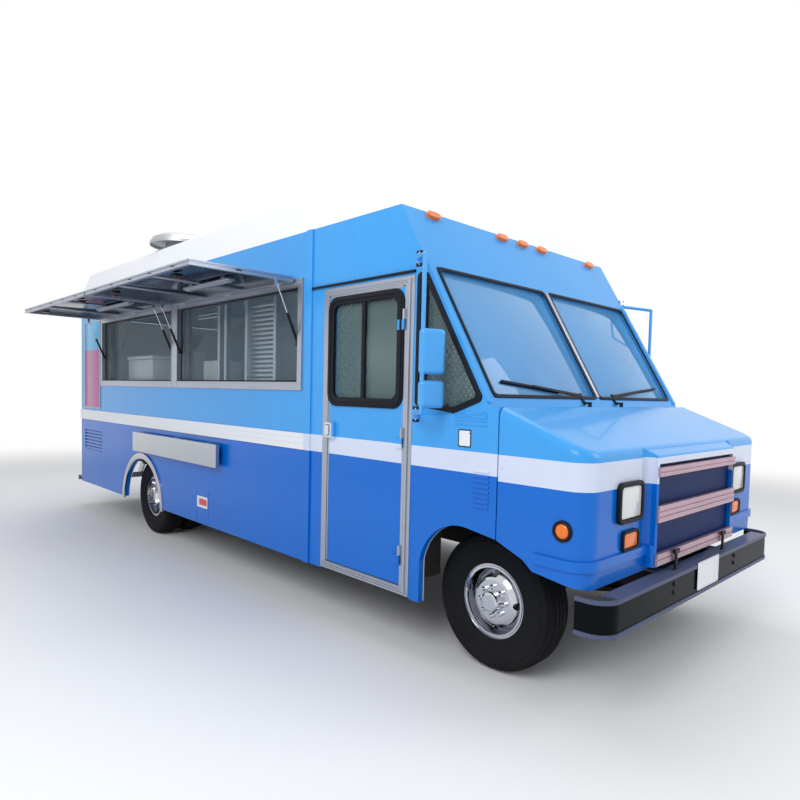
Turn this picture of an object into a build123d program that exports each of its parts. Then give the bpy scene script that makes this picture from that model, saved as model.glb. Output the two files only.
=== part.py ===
from build123d import *
import math
import os

# Food truck on a step-van chassis. Millimetres, X forward, Y to the left, Z up.
# The model is laid out from the floor under the middle of the front axle and is
# moved at the end so that the origin lies under the middle of the whole vehicle.

# Body envelope
half_width = 1172
rear_x = -6460
seam_x = -1490
seam_post_rear_x = -1526
seam_post_front_x = -1453
seam_post_proud = 12
skirt_z = 343
side_top_z = 2670
wall = 45
sheet = 6
gap = 0.3
door_gap = 5

# Slanted front of the cab: a plane through this point, leaning back by this run per unit of height
glass_foot_x = 90
glass_foot_z = 1545
front_run = 0.594
cowl_z = 1500
nose_seam_x = 190
nose_seam_gap = 8

# Roof cap
roof_top_z = 2971
roof_half_width = half_width - 109
roof_front_x = -904
roof_rear_x = -6440
roof_wall = 30

# Floor and frame
floor_z = 760
floor_thick = 40
rail_half_span = 432
rail_height = 200
rail_flange = 70
rail_wall = 8
rail_front_x = 640
rail_rear_x = -6400

# Wheels and axles
wheel_base = 4470
tyre_radius = 395
tyre_width = 220
rim_radius = 203
flange_radius = 216
front_track_half = half_width - 317
twin_spacing = tyre_width + 45
twin_outer_y = half_width - 217
twin_inner_y = twin_outer_y - twin_spacing
kingpin_y = half_width - 472

# Rear arch
arch_z = 325
arch_radius = 483
arch_trim_width = 54
arch_trim_proud = 14

# Rub rail between the lower and the upper side panels
rub_low_z = 1140
rub_high_z = 1256
rub_proud = 15

# Serving window
serve_rear_x = -5733
serve_front_x = -1565
serve_low_z = 1559
serve_high_z = 2352
serve_post_x = -3682
serve_post_width = 134
frame_face = 60
frame_lap = 30
frame_proud = 10
glass_thick = 6

# Cab doors
door_frame_rear_x = -1312
door_frame_front_x = -447
door_frame_low_z = 354
door_frame_high_z = 2241
door_frame_face = 50
door_thick = 40

# Nose
nose_top_z = 1500
nose_front_x = 700
nose_front_top_z = 1300
nose_bottom_z = 660
nose_wall = 22
grille_x = 752
grille_half = 556
grille_top_z = 1262
grille_bottom_z = 689

# Awnings
awning_depth = 770
awning_thick = 38
awning_hinge_y = half_width + 18
awning_hinge_z = serve_high_z - 22
awning_edge = 8
awning_rim = 30
awning_recess = 24
awning_groove = 16
awning_groove_depth = 6

nodes = []


def keep(piece, node):
    piece.part.label = node
    nodes.append(piece.part)


def front_x_at(z):
    return glass_foot_x - front_run * (z - glass_foot_z)


# Floor: flat plate notched for the wheel houses, the step wells and the engine
floor_front_x = nose_seam_x - nose_seam_gap - wall
house_half_length = arch_radius + 15
rear_house_inner_y = twin_inner_y - tyre_width / 2 - 25
rear_house_top_z = 880
front_house_rear_x = -455
front_house_inner_y = front_track_half - tyre_width / 2 - 240
front_house_top_z = 890
step_rear_x = door_frame_rear_x + door_frame_face
step_front_x = door_frame_front_x - door_frame_face
step_inner_y = half_width - 332
step_z = 420
inner_half = half_width - wall
rail_top_z = floor_z - floor_thick
engine_well_half = 330
house_tables = (
    # rear x, front x, inner y, top z, with a sheet at the front end
    (-wheel_base - house_half_length, -wheel_base + house_half_length, rear_house_inner_y, rear_house_top_z, True),
    (front_house_rear_x, floor_front_x, front_house_inner_y, front_house_top_z, False),
)
floor_panels = (
    # rear x, front x, inner y, outer y: a panel with no inner y crosses the middle
    (rear_x + wall, -wheel_base - house_half_length - gap, 0, inner_half),
    (-wheel_base - house_half_length, -wheel_base + house_half_length, 0, rear_house_inner_y - gap),
    (-wheel_base + house_half_length + gap, step_rear_x - gap, 0, inner_half),
    (step_rear_x, step_front_x - gap, 0, step_inner_y - gap),
    (step_front_x, front_house_rear_x - gap, engine_well_half, inner_half),
    (front_house_rear_x, floor_front_x, engine_well_half, front_house_inner_y - gap),
)
with BuildPart() as floor:
    for low_x, high_x, inner_y, outer_y in floor_panels:
        sides = (1, -1) if inner_y else (0,)
        for side in sides:
            width = outer_y - inner_y if side else 2 * outer_y
            with Locations(((low_x + high_x) / 2, side * (inner_y + outer_y) / 2, floor_z - floor_thick / 2)):
                Box(high_x - low_x, width, floor_thick)
keep(floor, "floor")


def open_box(low_x, high_x, inner_y, level_z, low_z, high_z, front_sheet):
    # sheets round a space that is open to the outside: a level sheet, then the inner, the rear and the front one
    for side in (1, -1):
        with Locations(((low_x + high_x) / 2, side * (inner_half + inner_y) / 2, level_z)):
            Box(high_x - low_x, inner_half - inner_y, sheet)
        with Locations(((low_x + high_x) / 2, side * (inner_y + sheet / 2), (low_z + high_z) / 2)):
            Box(high_x - low_x, sheet, high_z - low_z)
        ends = (low_x + sheet / 2, high_x - sheet / 2) if front_sheet else (low_x + sheet / 2,)
        for end_x in ends:
            with Locations((end_x, side * (inner_half + inner_y + sheet + gap) / 2, (low_z + high_z) / 2)):
                Box(sheet, inner_half - inner_y - sheet - gap, high_z - low_z)


# Wheel houses: boxes of sheet over the wheels, open below and on the outside
with BuildPart() as wheel_houses:
    for low_x, high_x, inner_y, top_z, front_sheet in house_tables:
        open_box(low_x, high_x, inner_y, top_z - sheet / 2, rail_top_z, top_z - sheet - gap, front_sheet)
keep(wheel_houses, "wheel_houses")

# Step wells: the low step inside each cab doorway
with BuildPart() as step_wells:
    open_box(step_rear_x, step_front_x, step_inner_y, step_z + sheet / 2, step_z + sheet + gap, floor_z, True)
keep(step_wells, "step_wells")

# Chassis frame: two channel rails with cross members and engine mounts
engine_length = 720
engine_half = 290
engine_mount_x = 140
engine_mount_z = 640
rail_low_z = rail_top_z - rail_height
cross_members = (560, -900, -2000, -3300, -3900, -5000, -6350)
member_height = 70
jack_pad_x = -3000
jack_pad_length = 120
jack_pad_drop = 12
member_z = rail_top_z - member_height / 2 - 5
with BuildPart() as chassis_frame:
    for side in (1, -1):
        with BuildSketch(Plane.YZ.offset(rail_rear_x)):
            with Locations((side * (rail_half_span - rail_flange / 2), (rail_low_z + rail_top_z) / 2)):
                Rectangle(rail_flange, rail_height)
            with Locations((side * (rail_half_span - rail_wall - rail_flange / 2), (rail_low_z + rail_top_z) / 2)):
                Rectangle(rail_flange, rail_height - 2 * rail_wall, mode=Mode.SUBTRACT)
        extrude(amount=rail_front_x - rail_rear_x)
    for member_x in cross_members:
        with BuildSketch(Plane.XZ.offset(-rail_half_span + rail_wall)):
            with Locations((member_x, member_z)):
                Rectangle(60, member_height)
            with Locations((member_x + rail_wall, member_z)):
                Rectangle(60, member_height - 2 * rail_wall, mode=Mode.SUBTRACT)
        extrude(amount=2 * (rail_half_span - rail_wall))
    for side in (1, -1):
        with Locations((engine_mount_x, side * (rail_half_span - rail_wall + engine_half) / 2, engine_mount_z)):
            Box(80, rail_half_span - rail_wall - engine_half, 90)
        with Locations((jack_pad_x, side * (rail_half_span - rail_flange / 2), rail_low_z - jack_pad_drop / 2)):
            Box(jack_pad_length, rail_flange, jack_pad_drop)
keep(chassis_frame, "chassis_frame")

# Engine: one plain block at its real place
engine_low_z = 560
engine_high_z = 1120
engine_front_x = 420
with BuildPart() as engine_block:
    with Locations((engine_front_x - engine_length / 2, 0, (engine_low_z + engine_high_z) / 2)):
        Box(engine_length, 2 * engine_half, engine_high_z - engine_low_z)
keep(engine_block, "engine_block")

# Side walls of the box
wall_split_z = (rub_low_z + rub_high_z) / 2
box_front_x = seam_x


def wall_plate(side, low_z, high_z, low_x=rear_x, high_x=box_front_x):
    with Locations(((low_x + high_x) / 2, side * (half_width - wall / 2), (low_z + high_z) / 2)):
        Box(high_x - low_x, wall, high_z - low_z)


def rear_arch_cut():
    with Locations(Location((-wheel_base, 0, arch_z), (90, 0, 0))):
        Cylinder(arch_radius, 2 * half_width + 10, mode=Mode.SUBTRACT)


vent_rear_x = -6320
vent_front_x = -5700
vent_low_z = 770
vent_high_z = 1010
with BuildPart() as right_wall_lower:
    wall_plate(-1, skirt_z, wall_split_z)
    rear_arch_cut()
    with Locations(((vent_rear_x + vent_front_x) / 2, -half_width, (vent_low_z + vent_high_z) / 2)):
        Box(vent_front_x - vent_rear_x, 40, vent_high_z - vent_low_z, mode=Mode.SUBTRACT)
keep(right_wall_lower, "right_wall_lower")

with BuildPart() as right_wall_upper:
    wall_plate(-1, wall_split_z, side_top_z)
    with Locations(((serve_rear_x + serve_front_x) / 2, -half_width + wall / 2, (serve_low_z + serve_high_z) / 2)):
        Box(serve_front_x - serve_rear_x - 2 * frame_lap, 2 * wall,
            serve_high_z - serve_low_z - 2 * frame_lap, mode=Mode.SUBTRACT)
keep(right_wall_upper, "right_wall_upper")

with BuildPart() as left_wall:
    wall_plate(1, skirt_z, side_top_z)
    rear_arch_cut()
keep(left_wall, "left_wall")

# Louvre vents: slats in the rear right wall pocket and on both cab sides
slat_count = 6
slat_pitch = (vent_high_z - vent_low_z) / slat_count
cab_slat_count = 8
cab_slat_low_z = 958
cab_slat_pitch = 27
cab_slat_rear_x = 29
cab_slat_front_x = 132
with BuildPart() as louvre_vents:
    for row in range(slat_count):
        z = vent_low_z + slat_pitch * row
        with BuildSketch(Plane.YZ.offset(vent_rear_x)):
            with BuildLine():
                Polyline((-half_width + 20, z + slat_pitch * 0.9), (-half_width + 14, z + slat_pitch * 0.9),
                         (-half_width - 4, z + slat_pitch * 0.15), (-half_width, z + slat_pitch * 0.1), close=True)
            make_face()
        extrude(amount=vent_front_x - vent_rear_x)
    for side in (1, -1):
        for row in range(cab_slat_count):
            z = cab_slat_low_z + cab_slat_pitch * row
            with BuildSketch(Plane.YZ.offset(cab_slat_rear_x)):
                with BuildLine():
                    Polyline((side * half_width, z + cab_slat_pitch * 0.8),
                             (side * (half_width + 9), z + cab_slat_pitch * 0.2),
                             (side * half_width, z + cab_slat_pitch * 0.2), close=True)
                make_face()
            extrude(amount=cab_slat_front_x - cab_slat_rear_x)
keep(louvre_vents, "louvre_vents")

# Hinges: one barrel on the fixed side next to one on the moving side
hinge_radius = 7
hinge_length = 60
hinge_end_gap = 0.5

# Rear wall with the doorway
rear_hinge_x = rear_x - 14
rear_door_half = half_width - 472
rear_door_low_z = floor_z + 20
rear_door_high_z = 2420
rear_sill_z = 640
rear_hinge_levels = (rear_door_low_z + 200, (rear_door_low_z + rear_door_high_z) / 2, rear_door_high_z - 260)
with BuildPart() as rear_wall:
    with Locations((rear_x + wall / 2, 0, (rear_sill_z + side_top_z) / 2)):
        Box(wall, 2 * inner_half, side_top_z - rear_sill_z)
    with Locations((rear_x + wall / 2, 0, (rear_door_low_z + rear_door_high_z) / 2)):
        Box(2 * wall, 2 * rear_door_half, rear_door_high_z - rear_door_low_z, mode=Mode.SUBTRACT)
    for side in (1, -1):
        for level in rear_hinge_levels:
            with Locations((rear_hinge_x, side * rear_door_half, level + hinge_length + hinge_end_gap)):
                Cylinder(hinge_radius, hinge_length)
            with Locations((rear_hinge_x / 2 + rear_x / 2, side * (rear_door_half + 4),
                            level + hinge_length + hinge_end_gap)):
                Box(rear_x - rear_hinge_x, 8, hinge_length)
keep(rear_wall, "rear_wall")

# Roof cap: hollow tapered shell
cap_rear_x = rear_x
cap_front_x = front_x_at(side_top_z)
with BuildPart() as roof_cap:
    with BuildSketch(Plane.XY.offset(side_top_z)):
        with Locations(((cap_rear_x + cap_front_x) / 2, 0)):
            Rectangle(cap_front_x - cap_rear_x, 2 * half_width)
    with BuildSketch(Plane.XY.offset(roof_top_z)):
        with Locations(((roof_rear_x + roof_front_x) / 2, 0)):
            Rectangle(roof_front_x - roof_rear_x, 2 * roof_half_width)
    loft()
    fillet(roof_cap.faces().sort_by(Axis.Z)[-1].edges(), 30)
    with BuildSketch(Plane.XY.offset(side_top_z)):
        with Locations(((cap_rear_x + cap_front_x) / 2, 0)):
            Rectangle(cap_front_x - cap_rear_x - 2 * wall - 40, 2 * inner_half)
    with BuildSketch(Plane.XY.offset(roof_top_z - roof_wall)):
        with Locations(((roof_rear_x + roof_front_x) / 2, 0)):
            Rectangle(roof_front_x - roof_rear_x - 3 * roof_wall, 2 * (roof_half_width - 1.5 * roof_wall))
    loft(mode=Mode.SUBTRACT)
keep(roof_cap, "roof_cap")

# Cab front: slanted frame for two flat panes, cowl and firewall
screen_top_z = 2285
screen_top_half = half_width - 65
screen_low_half = half_width - 75
mullion_half = 22
slope_scale = math.hypot(1, front_run)
slant = Plane(origin=(glass_foot_x, 0, glass_foot_z), x_dir=(0, 1, 0), z_dir=(1, 0, front_run))
screen_height = (screen_top_z - glass_foot_z) * slope_scale
front_wall_run = wall * slope_scale
firewall_x = nose_seam_x - nose_seam_gap
nose_hinge_x = nose_seam_x - nose_seam_gap / 2
nose_hinge_radius = nose_seam_gap / 2 - 0.5
nose_hinge_z = cowl_z - nose_hinge_radius
nose_hinge_stations = (-half_width + 372, -30, half_width - 432)
house_cut_z = front_house_top_z - 10


def pane_outline(side, margin, depth):
    with BuildSketch(slant.offset(-depth)) as pane:
        with BuildLine():
            Polyline((side * (mullion_half + margin), margin),
                     (side * (screen_low_half - margin), margin),
                     (side * (screen_top_half - margin), screen_height - margin),
                     (side * (mullion_half + margin), screen_height - margin), close=True)
        make_face()
    return pane.sketch


with BuildPart() as cab_front:
    with BuildSketch(Plane.XZ.offset(-inner_half)):
        with BuildLine():
            Polyline((front_x_at(side_top_z), side_top_z), (front_x_at(cowl_z), cowl_z),
                     (firewall_x, cowl_z), (firewall_x, rail_top_z), (firewall_x - 12, rail_top_z),
                     (firewall_x - 12, cowl_z - 60), (front_x_at(cowl_z) - front_wall_run, cowl_z - 60),
                     (front_x_at(cowl_z) - front_wall_run, cowl_z),
                     (front_x_at(side_top_z) - front_wall_run, side_top_z), close=True)
        make_face()
    extrude(amount=2 * inner_half)
    for side in (1, -1):
        extrude(pane_outline(side, 0, 0), amount=3 * wall, both=True, mode=Mode.SUBTRACT)
    with Locations((firewall_x, 0, (rail_top_z + 1200) / 2)):
        Box(4 * wall, 2 * (engine_well_half + 10), 1200 - rail_top_z, mode=Mode.SUBTRACT)
    for side in (1, -1):
        with Locations((firewall_x, side * (inner_half + front_house_inner_y) / 2, (rail_top_z + house_cut_z) / 2)):
            Box(4 * wall, inner_half - front_house_inner_y + 1, house_cut_z - rail_top_z, mode=Mode.SUBTRACT)
    for station in nose_hinge_stations:
        with Locations(Location((nose_hinge_x, station, nose_hinge_z), (90, 0, 0))):
            Cylinder(nose_hinge_radius, hinge_length)
        with Locations(((firewall_x - 5 + nose_hinge_x) / 2, station, nose_hinge_z)):
            Box(nose_hinge_x - firewall_x + 5, hinge_length, 2 * nose_hinge_radius)
keep(cab_front, "cab_front")

# Cab sides with the wheel arch, doorway and quarter window
quarter_window = ((-425, 1488), (-123, 1454), (86, 1531), (-342, 2243), (-425, 2256))
quarter_radius = 30
bead_width = 34
bead_offset = 52
bead_proud = 9


def quarter_outline(side, margin, depth):
    with BuildSketch(Plane.XZ.offset(-side * (half_width - depth))) as pane:
        with BuildLine():
            Polyline(*quarter_window, close=True)
        make_face()
        fillet(pane.vertices(), quarter_radius)
        if margin:
            offset(amount=-margin, mode=Mode.REPLACE)
    return pane.sketch


for side, side_name in ((-1, "right"), (1, "left")):
    side_plane = Plane.XZ.offset(-side * half_width)
    with BuildPart() as cab_side:
        with BuildSketch(side_plane):
            with BuildLine():
                Polyline((firewall_x, 815), (firewall_x, cowl_z),
                         (front_x_at(cowl_z), cowl_z), (front_x_at(side_top_z), side_top_z),
                         (seam_x, side_top_z), (seam_x, skirt_z), (-362, skirt_z), (-362, 590))
                ThreePointArc((-362, 590), (-255, 770), (-20, 843))
                Line((-20, 843), (firewall_x, 815))
            make_face()
            with Locations(((door_frame_rear_x + door_frame_front_x) / 2, (skirt_z + door_frame_high_z) / 2)):
                Rectangle(door_frame_front_x - door_frame_rear_x, door_frame_high_z - skirt_z, mode=Mode.SUBTRACT)
        extrude(amount=side * wall)
        extrude(quarter_outline(side, 0, 0), amount=2 * wall, both=True, mode=Mode.SUBTRACT)
        with Locations(((seam_post_rear_x + seam_post_front_x) / 2, side * (half_width + seam_post_proud / 2),
                        (skirt_z + side_top_z) / 2)):
            Box(seam_post_front_x - seam_post_rear_x, seam_post_proud, side_top_z - skirt_z)
        with BuildSketch(slant) as bead:
            with Locations((side * (screen_top_half + screen_low_half) / 2 + side * bead_offset, screen_height / 2)):
                RectangleRounded(bead_width, screen_height + 2 * bead_width, bead_width / 2 - 1)
        extrude(bead.sketch, amount=bead_proud)
    keep(cab_side, f"cab_side_{side_name}")

# Aluminium frames: serving window, and one round each cab doorway
door_opening_rear_x = door_frame_rear_x + door_frame_face + door_gap
door_opening_front_x = door_frame_front_x - door_frame_face - 22 - door_gap
door_low_z = door_frame_low_z + door_frame_face
door_high_z = door_frame_high_z - door_frame_face
door_hinge_x = door_opening_front_x
door_hinge_y = half_width + 14
door_hinge_levels = (560, 1260, 1960)
awning_table = (
    # name, rear x, front x
    ("rear", serve_rear_x + 33, serve_post_x - 18),
    ("front", serve_post_x + 18, serve_front_x - 99),
)
awning_barrel = 6
shelf_rear_x = -4550
shelf_front_x = -2710
shelf_low_z = 890
shelf_high_z = 1086
shelf_thick = 30
shelf_inner_y = half_width + 42
shelf_hinge_y = shelf_inner_y - awning_barrel - hinge_end_gap
shelf_hinge_z = shelf_high_z - awning_barrel
shelf_stations = (shelf_rear_x + 150, (shelf_rear_x + shelf_front_x) / 2, shelf_front_x - 250)


def awning_stations(low_x, high_x):
    return (low_x + 150, (low_x + high_x) / 2, high_x - 250)


serve_mid_z = (serve_low_z + serve_high_z) / 2
serve_height = serve_high_z - serve_low_z
serve_bars = (
    # rear x, front x, low z, high z of the face, then how much of each edge laps the wall: rear, front, low, high
    (serve_rear_x, serve_front_x, serve_high_z - frame_face, serve_high_z, frame_lap, frame_lap, 0, frame_lap),
    (serve_rear_x, serve_front_x, serve_low_z, serve_low_z + frame_face, frame_lap, frame_lap, frame_lap, 0),
    (serve_rear_x, serve_rear_x + frame_face, serve_low_z + frame_face + gap, serve_high_z - frame_face - gap,
     frame_lap, 0, 0, 0),
    (serve_front_x - frame_face, serve_front_x, serve_low_z + frame_face + gap, serve_high_z - frame_face - gap,
     0, frame_lap, 0, 0),
    (serve_post_x - serve_post_width / 2, serve_post_x + serve_post_width / 2, serve_low_z + frame_face + gap,
     serve_high_z - frame_face - gap, 0, 0, 0, 0),
)
door_bars = (
    # rear x, front x, low z, high z
    (door_frame_rear_x, door_opening_rear_x, door_frame_low_z, door_frame_high_z),
    (door_opening_front_x, door_frame_front_x, door_frame_low_z, door_frame_high_z),
    (door_opening_rear_x + gap, door_opening_front_x - gap, door_frame_low_z, door_low_z),
    (door_opening_rear_x + gap, door_opening_front_x - gap, door_high_z, door_frame_high_z),
)
door_frame_proud = 4
with BuildPart() as metal_frames:
    for low_x, high_x, low_z, high_z, lap_rear, lap_front, lap_low, lap_high in serve_bars:
        with Locations(((low_x + high_x) / 2, -half_width - frame_proud / 2, (low_z + high_z) / 2)):
            Box(high_x - low_x, frame_proud, high_z - low_z)
        with Locations(((low_x + lap_rear + high_x - lap_front) / 2, -half_width + wall / 2,
                        (low_z + lap_low + high_z - lap_high) / 2)):
            Box(high_x - lap_front - low_x - lap_rear, wall, high_z - lap_high - low_z - lap_low)
    for side in (1, -1):
        for low_x, high_x, low_z, high_z in door_bars:
            with Locations(((low_x + high_x) / 2, side * (half_width + (door_frame_proud - wall) / 2),
                            (low_z + high_z) / 2)):
                Box(high_x - low_x, wall + door_frame_proud, high_z - low_z)
        for level in door_hinge_levels:
            mate = level + hinge_length + hinge_end_gap
            with Locations((door_hinge_x, side * door_hinge_y, mate)):
                Cylinder(hinge_radius, hinge_length)
            with Locations((door_hinge_x + 6, side * (door_hinge_y + half_width) / 2, mate)):
                Box(12, door_hinge_y - half_width, hinge_length)
    for awning_name, low_x, high_x in awning_table:
        for station in awning_stations(low_x, high_x):
            with Locations(Location((station, -awning_hinge_y, awning_hinge_z), (0, 90, 0))):
                Cylinder(awning_barrel, hinge_length)
            with Locations((station, -(awning_hinge_y + half_width) / 2, awning_hinge_z)):
                Box(hinge_length, awning_hinge_y - half_width, 2 * awning_barrel - 2)
    for station in shelf_stations:
        with Locations(Location((station, -shelf_hinge_y, shelf_hinge_z), (0, 90, 0))):
            Cylinder(awning_barrel, hinge_length)
        with Locations((station, -(shelf_hinge_y + half_width) / 2, shelf_hinge_z)):
            Box(hinge_length, shelf_hinge_y - half_width, 2 * awning_barrel - 2)
keep(metal_frames, "metal_frames")

# Fixed glass: windshield panes, quarter panes and serving window panes
serve_glass_y = half_width - wall + glass_thick
glass_depth = 18
with BuildPart() as fixed_glass:
    for side in (1, -1):
        extrude(pane_outline(side, gap, glass_depth), amount=-glass_thick)
        extrude(quarter_outline(side, gap, glass_depth), amount=side * glass_thick)
    for low_x, high_x in ((serve_rear_x + frame_face, serve_post_x - serve_post_width / 2),
                          (serve_post_x + serve_post_width / 2, serve_front_x - frame_face)):
        with Locations(((low_x + high_x) / 2, -serve_glass_y + glass_thick / 2, serve_mid_z)):
            Box(high_x - low_x - 2 * gap, glass_thick, serve_height - 2 * frame_face - 2 * gap)
keep(fixed_glass, "fixed_glass")

# Rub rails
with BuildPart() as rub_rails:
    for side in (1, -1):
        with BuildSketch(Plane.YZ.offset(rear_x)):
            rail_mid = (rub_low_z + rub_high_z) / 2
            with Locations((side * (half_width + rub_proud / 2), rail_mid)):
                Rectangle(rub_proud, rub_high_z - rub_low_z)
            for groove in (-1, 1):
                with Locations((side * (half_width + rub_proud), rail_mid + groove * 20)):
                    Rectangle(10, 14, mode=Mode.SUBTRACT)
        extrude(amount=seam_post_rear_x - rear_x)
keep(rub_rails, "rub_rails")

# Arch trims: bright rings round the rear arches
with BuildPart() as arch_trims:
    for side in (1, -1):
        with BuildSketch(Plane.XZ.offset(-side * half_width)):
            with Locations((-wheel_base, arch_z)):
                Circle(arch_radius + arch_trim_width)
                Circle(arch_radius - 4, mode=Mode.SUBTRACT)
            with Locations((-wheel_base, arch_z - 500)):
                Rectangle(3 * arch_radius, 1000, mode=Mode.SUBTRACT)
        extrude(amount=-side * arch_trim_proud)
keep(arch_trims, "arch_trims")

# Nose: one hollow shell that tilts about the cowl, with the arch cut in each side. A centre section
# stands forward of the fenders, parted from them by a concave flute, and a ledge runs round the lower edge
hood_slope = (nose_top_z - nose_front_top_z) / (nose_front_x - nose_seam_x)
nose_corner = 110
nose_edge = 50
nose_front_wall = 50
bay_corner = 80
centre_half = 568
centre_rear_x = 600
centre_low_z = 680
centre_edge = 25
flute_radius = 45
flute_x = nose_front_x + 28
flute_y = centre_half + 32
ledge_low_z = 745
ledge_high_z = 795
ledge_rear_x = 420
ledge_proud = 14
opening_half = 542
opening_low_z = 705
opening_high_z = 1222


def hood_z_at(x):
    return nose_top_z - hood_slope * (x - nose_seam_x)


with BuildPart() as nose_bay:
    with BuildSketch(Plane.XZ.offset(-half_width + nose_wall)):
        with BuildLine():
            Polyline((nose_seam_x - 1, hood_z_at(nose_seam_x) - nose_wall - 2),
                     (nose_front_x - nose_front_wall, hood_z_at(nose_front_x - nose_front_wall) - nose_wall - 2),
                     (nose_front_x - nose_front_wall, nose_bottom_z - 60), (nose_seam_x - 1, nose_bottom_z - 60),
                     close=True)
        make_face()
    extrude(amount=2 * (half_width - nose_wall))
    fillet(nose_bay.edges().filter_by(Axis.Z).sort_by(Axis.X)[-2:], bay_corner)

with BuildPart() as hood_shell:
    with BuildSketch(Plane.XZ.offset(-half_width)):
        with BuildLine():
            Polyline((nose_seam_x, nose_top_z), (nose_front_x, nose_front_top_z), (nose_front_x, nose_bottom_z),
                     (412, 700), (356, 746), (nose_seam_x, 812), close=True)
        make_face()
    extrude(amount=2 * half_width)
    fillet(hood_shell.edges().filter_by(Axis.Z).sort_by(Axis.X)[-2:], nose_corner)
    top_face = hood_shell.faces().sort_by(Axis.Z)[-1]
    fillet([e for e in top_face.edges() if e.center().X > nose_seam_x + 10], nose_edge)
    with BuildSketch(Plane.XZ.offset(-centre_half)):
        with BuildLine():
            Polyline((centre_rear_x, hood_z_at(centre_rear_x) - 2), (grille_x, grille_top_z), (grille_x, centre_low_z),
                     (centre_rear_x, centre_low_z), close=True)
        make_face()
    extrude(amount=2 * centre_half)
    fillet([e for e in hood_shell.edges() if e.center().X > grille_x - 1 and e.center().Z > centre_low_z + 5],
           centre_edge)
    with BuildSketch(Plane.XY.offset(ledge_low_z)):
        with Locations(((ledge_rear_x + nose_front_x + ledge_proud) / 2, 0)):
            Rectangle(nose_front_x + ledge_proud - ledge_rear_x, 2 * (half_width + ledge_proud))
        fillet(vertices().sort_by(Axis.X)[-2:], nose_corner + ledge_proud)
    extrude(amount=ledge_high_z - ledge_low_z)
    for side in (1, -1):
        with Locations((flute_x, side * flute_y, (ledge_high_z + nose_top_z) / 2)):
            Cylinder(flute_radius, nose_top_z - ledge_high_z, mode=Mode.SUBTRACT)
    add(nose_bay.part, mode=Mode.SUBTRACT)
    with Locations((nose_front_x, 0, (opening_low_z + opening_high_z) / 2)):
        Box(4 * nose_front_wall, 2 * opening_half, opening_high_z - opening_low_z, mode=Mode.SUBTRACT)
    for station in nose_hinge_stations:
        mate = station + hinge_length + hinge_end_gap
        with Locations(Location((nose_hinge_x, mate, nose_hinge_z), (90, 0, 0))):
            Cylinder(nose_hinge_radius, hinge_length)
        with Locations(((nose_seam_x + 5 + nose_hinge_x) / 2, mate, nose_hinge_z)):
            Box(nose_seam_x + 5 - nose_hinge_x, hinge_length, 2 * nose_hinge_radius)
keep(hood_shell, "hood_shell")

# Grille: three ribbed bars on a recessed mesh panel
mesh_x = 715
mesh_thick = 12
bar_proud = 13
rib_groove = 7
grille_bars = (
    # low z, high z, ribs
    (1157, 1205, 2),
    (917, 1004, 3),
    (grille_bottom_z, 751, 2),
)
with BuildPart() as hood_grille:
    with Locations((mesh_x + mesh_thick / 2, 0, (opening_low_z + opening_high_z) / 2)):
        Box(mesh_thick, 2 * (opening_half - gap), opening_high_z - opening_low_z - 2 * gap)
    for low_z, high_z, ribs in grille_bars:
        spine_low_z = max(low_z, opening_low_z + gap)
        with Locations(((mesh_x + grille_x + 1) / 2, 0, (spine_low_z + high_z) / 2)):
            Box(grille_x + 1 - mesh_x, 2 * (opening_half - gap), high_z - spine_low_z)
        with Locations((grille_x + gap + bar_proud / 2, 0, (low_z + high_z) / 2)):
            Box(bar_proud, 2 * grille_half, high_z - low_z)
        rib_pitch = (high_z - low_z) / ribs
        for rib in range(1, ribs):
            with Locations((grille_x + gap + bar_proud, 0, low_z + rib * rib_pitch)):
                Box(bar_proud, 2 * grille_half + 2, rib_groove, mode=Mode.SUBTRACT)
keep(hood_grille, "hood_grille")

# Lamps carried by the nose: head lamps and turn signals in rounded bezels, and round side markers
lamp_centre_y = (grille_half + half_width) / 2
lamp_table = (
    # inner y, outer y, low z, high z, corner radius, bezel width, stand out
    (lamp_centre_y - 224, lamp_centre_y + 36, 940, 1147, 34, 20, 22),
    (lamp_centre_y - 197, lamp_centre_y - 24, 798, 901, 16, 10, 16),
)
lens_sink = 6
marker_x = 577
marker_z = 928
marker_radius = 50
marker_thick = 16
with BuildPart() as hood_lamps:
    for side in (1, -1):
        for inner_y, outer_y, low_z, high_z, corner, bezel, proud in lamp_table:
            place = (side * (inner_y + outer_y) / 2, (low_z + high_z) / 2)
            with BuildSketch(Plane.YZ.offset(nose_front_x)):
                with Locations(place):
                    RectangleRounded(outer_y - inner_y, high_z - low_z, corner)
            extrude(amount=proud)
            with BuildSketch(Plane.YZ.offset(nose_front_x + proud - lens_sink)):
                with Locations(place):
                    RectangleRounded(outer_y - inner_y - 2 * bezel, high_z - low_z - 2 * bezel, corner - bezel / 2)
            extrude(amount=lens_sink, mode=Mode.SUBTRACT)
        with Locations(Location((marker_x, side * (half_width + marker_thick / 2), marker_z), (90, 0, 0))):
            Cylinder(marker_radius, marker_thick)
keep(hood_lamps, "hood_lamps")

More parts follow.
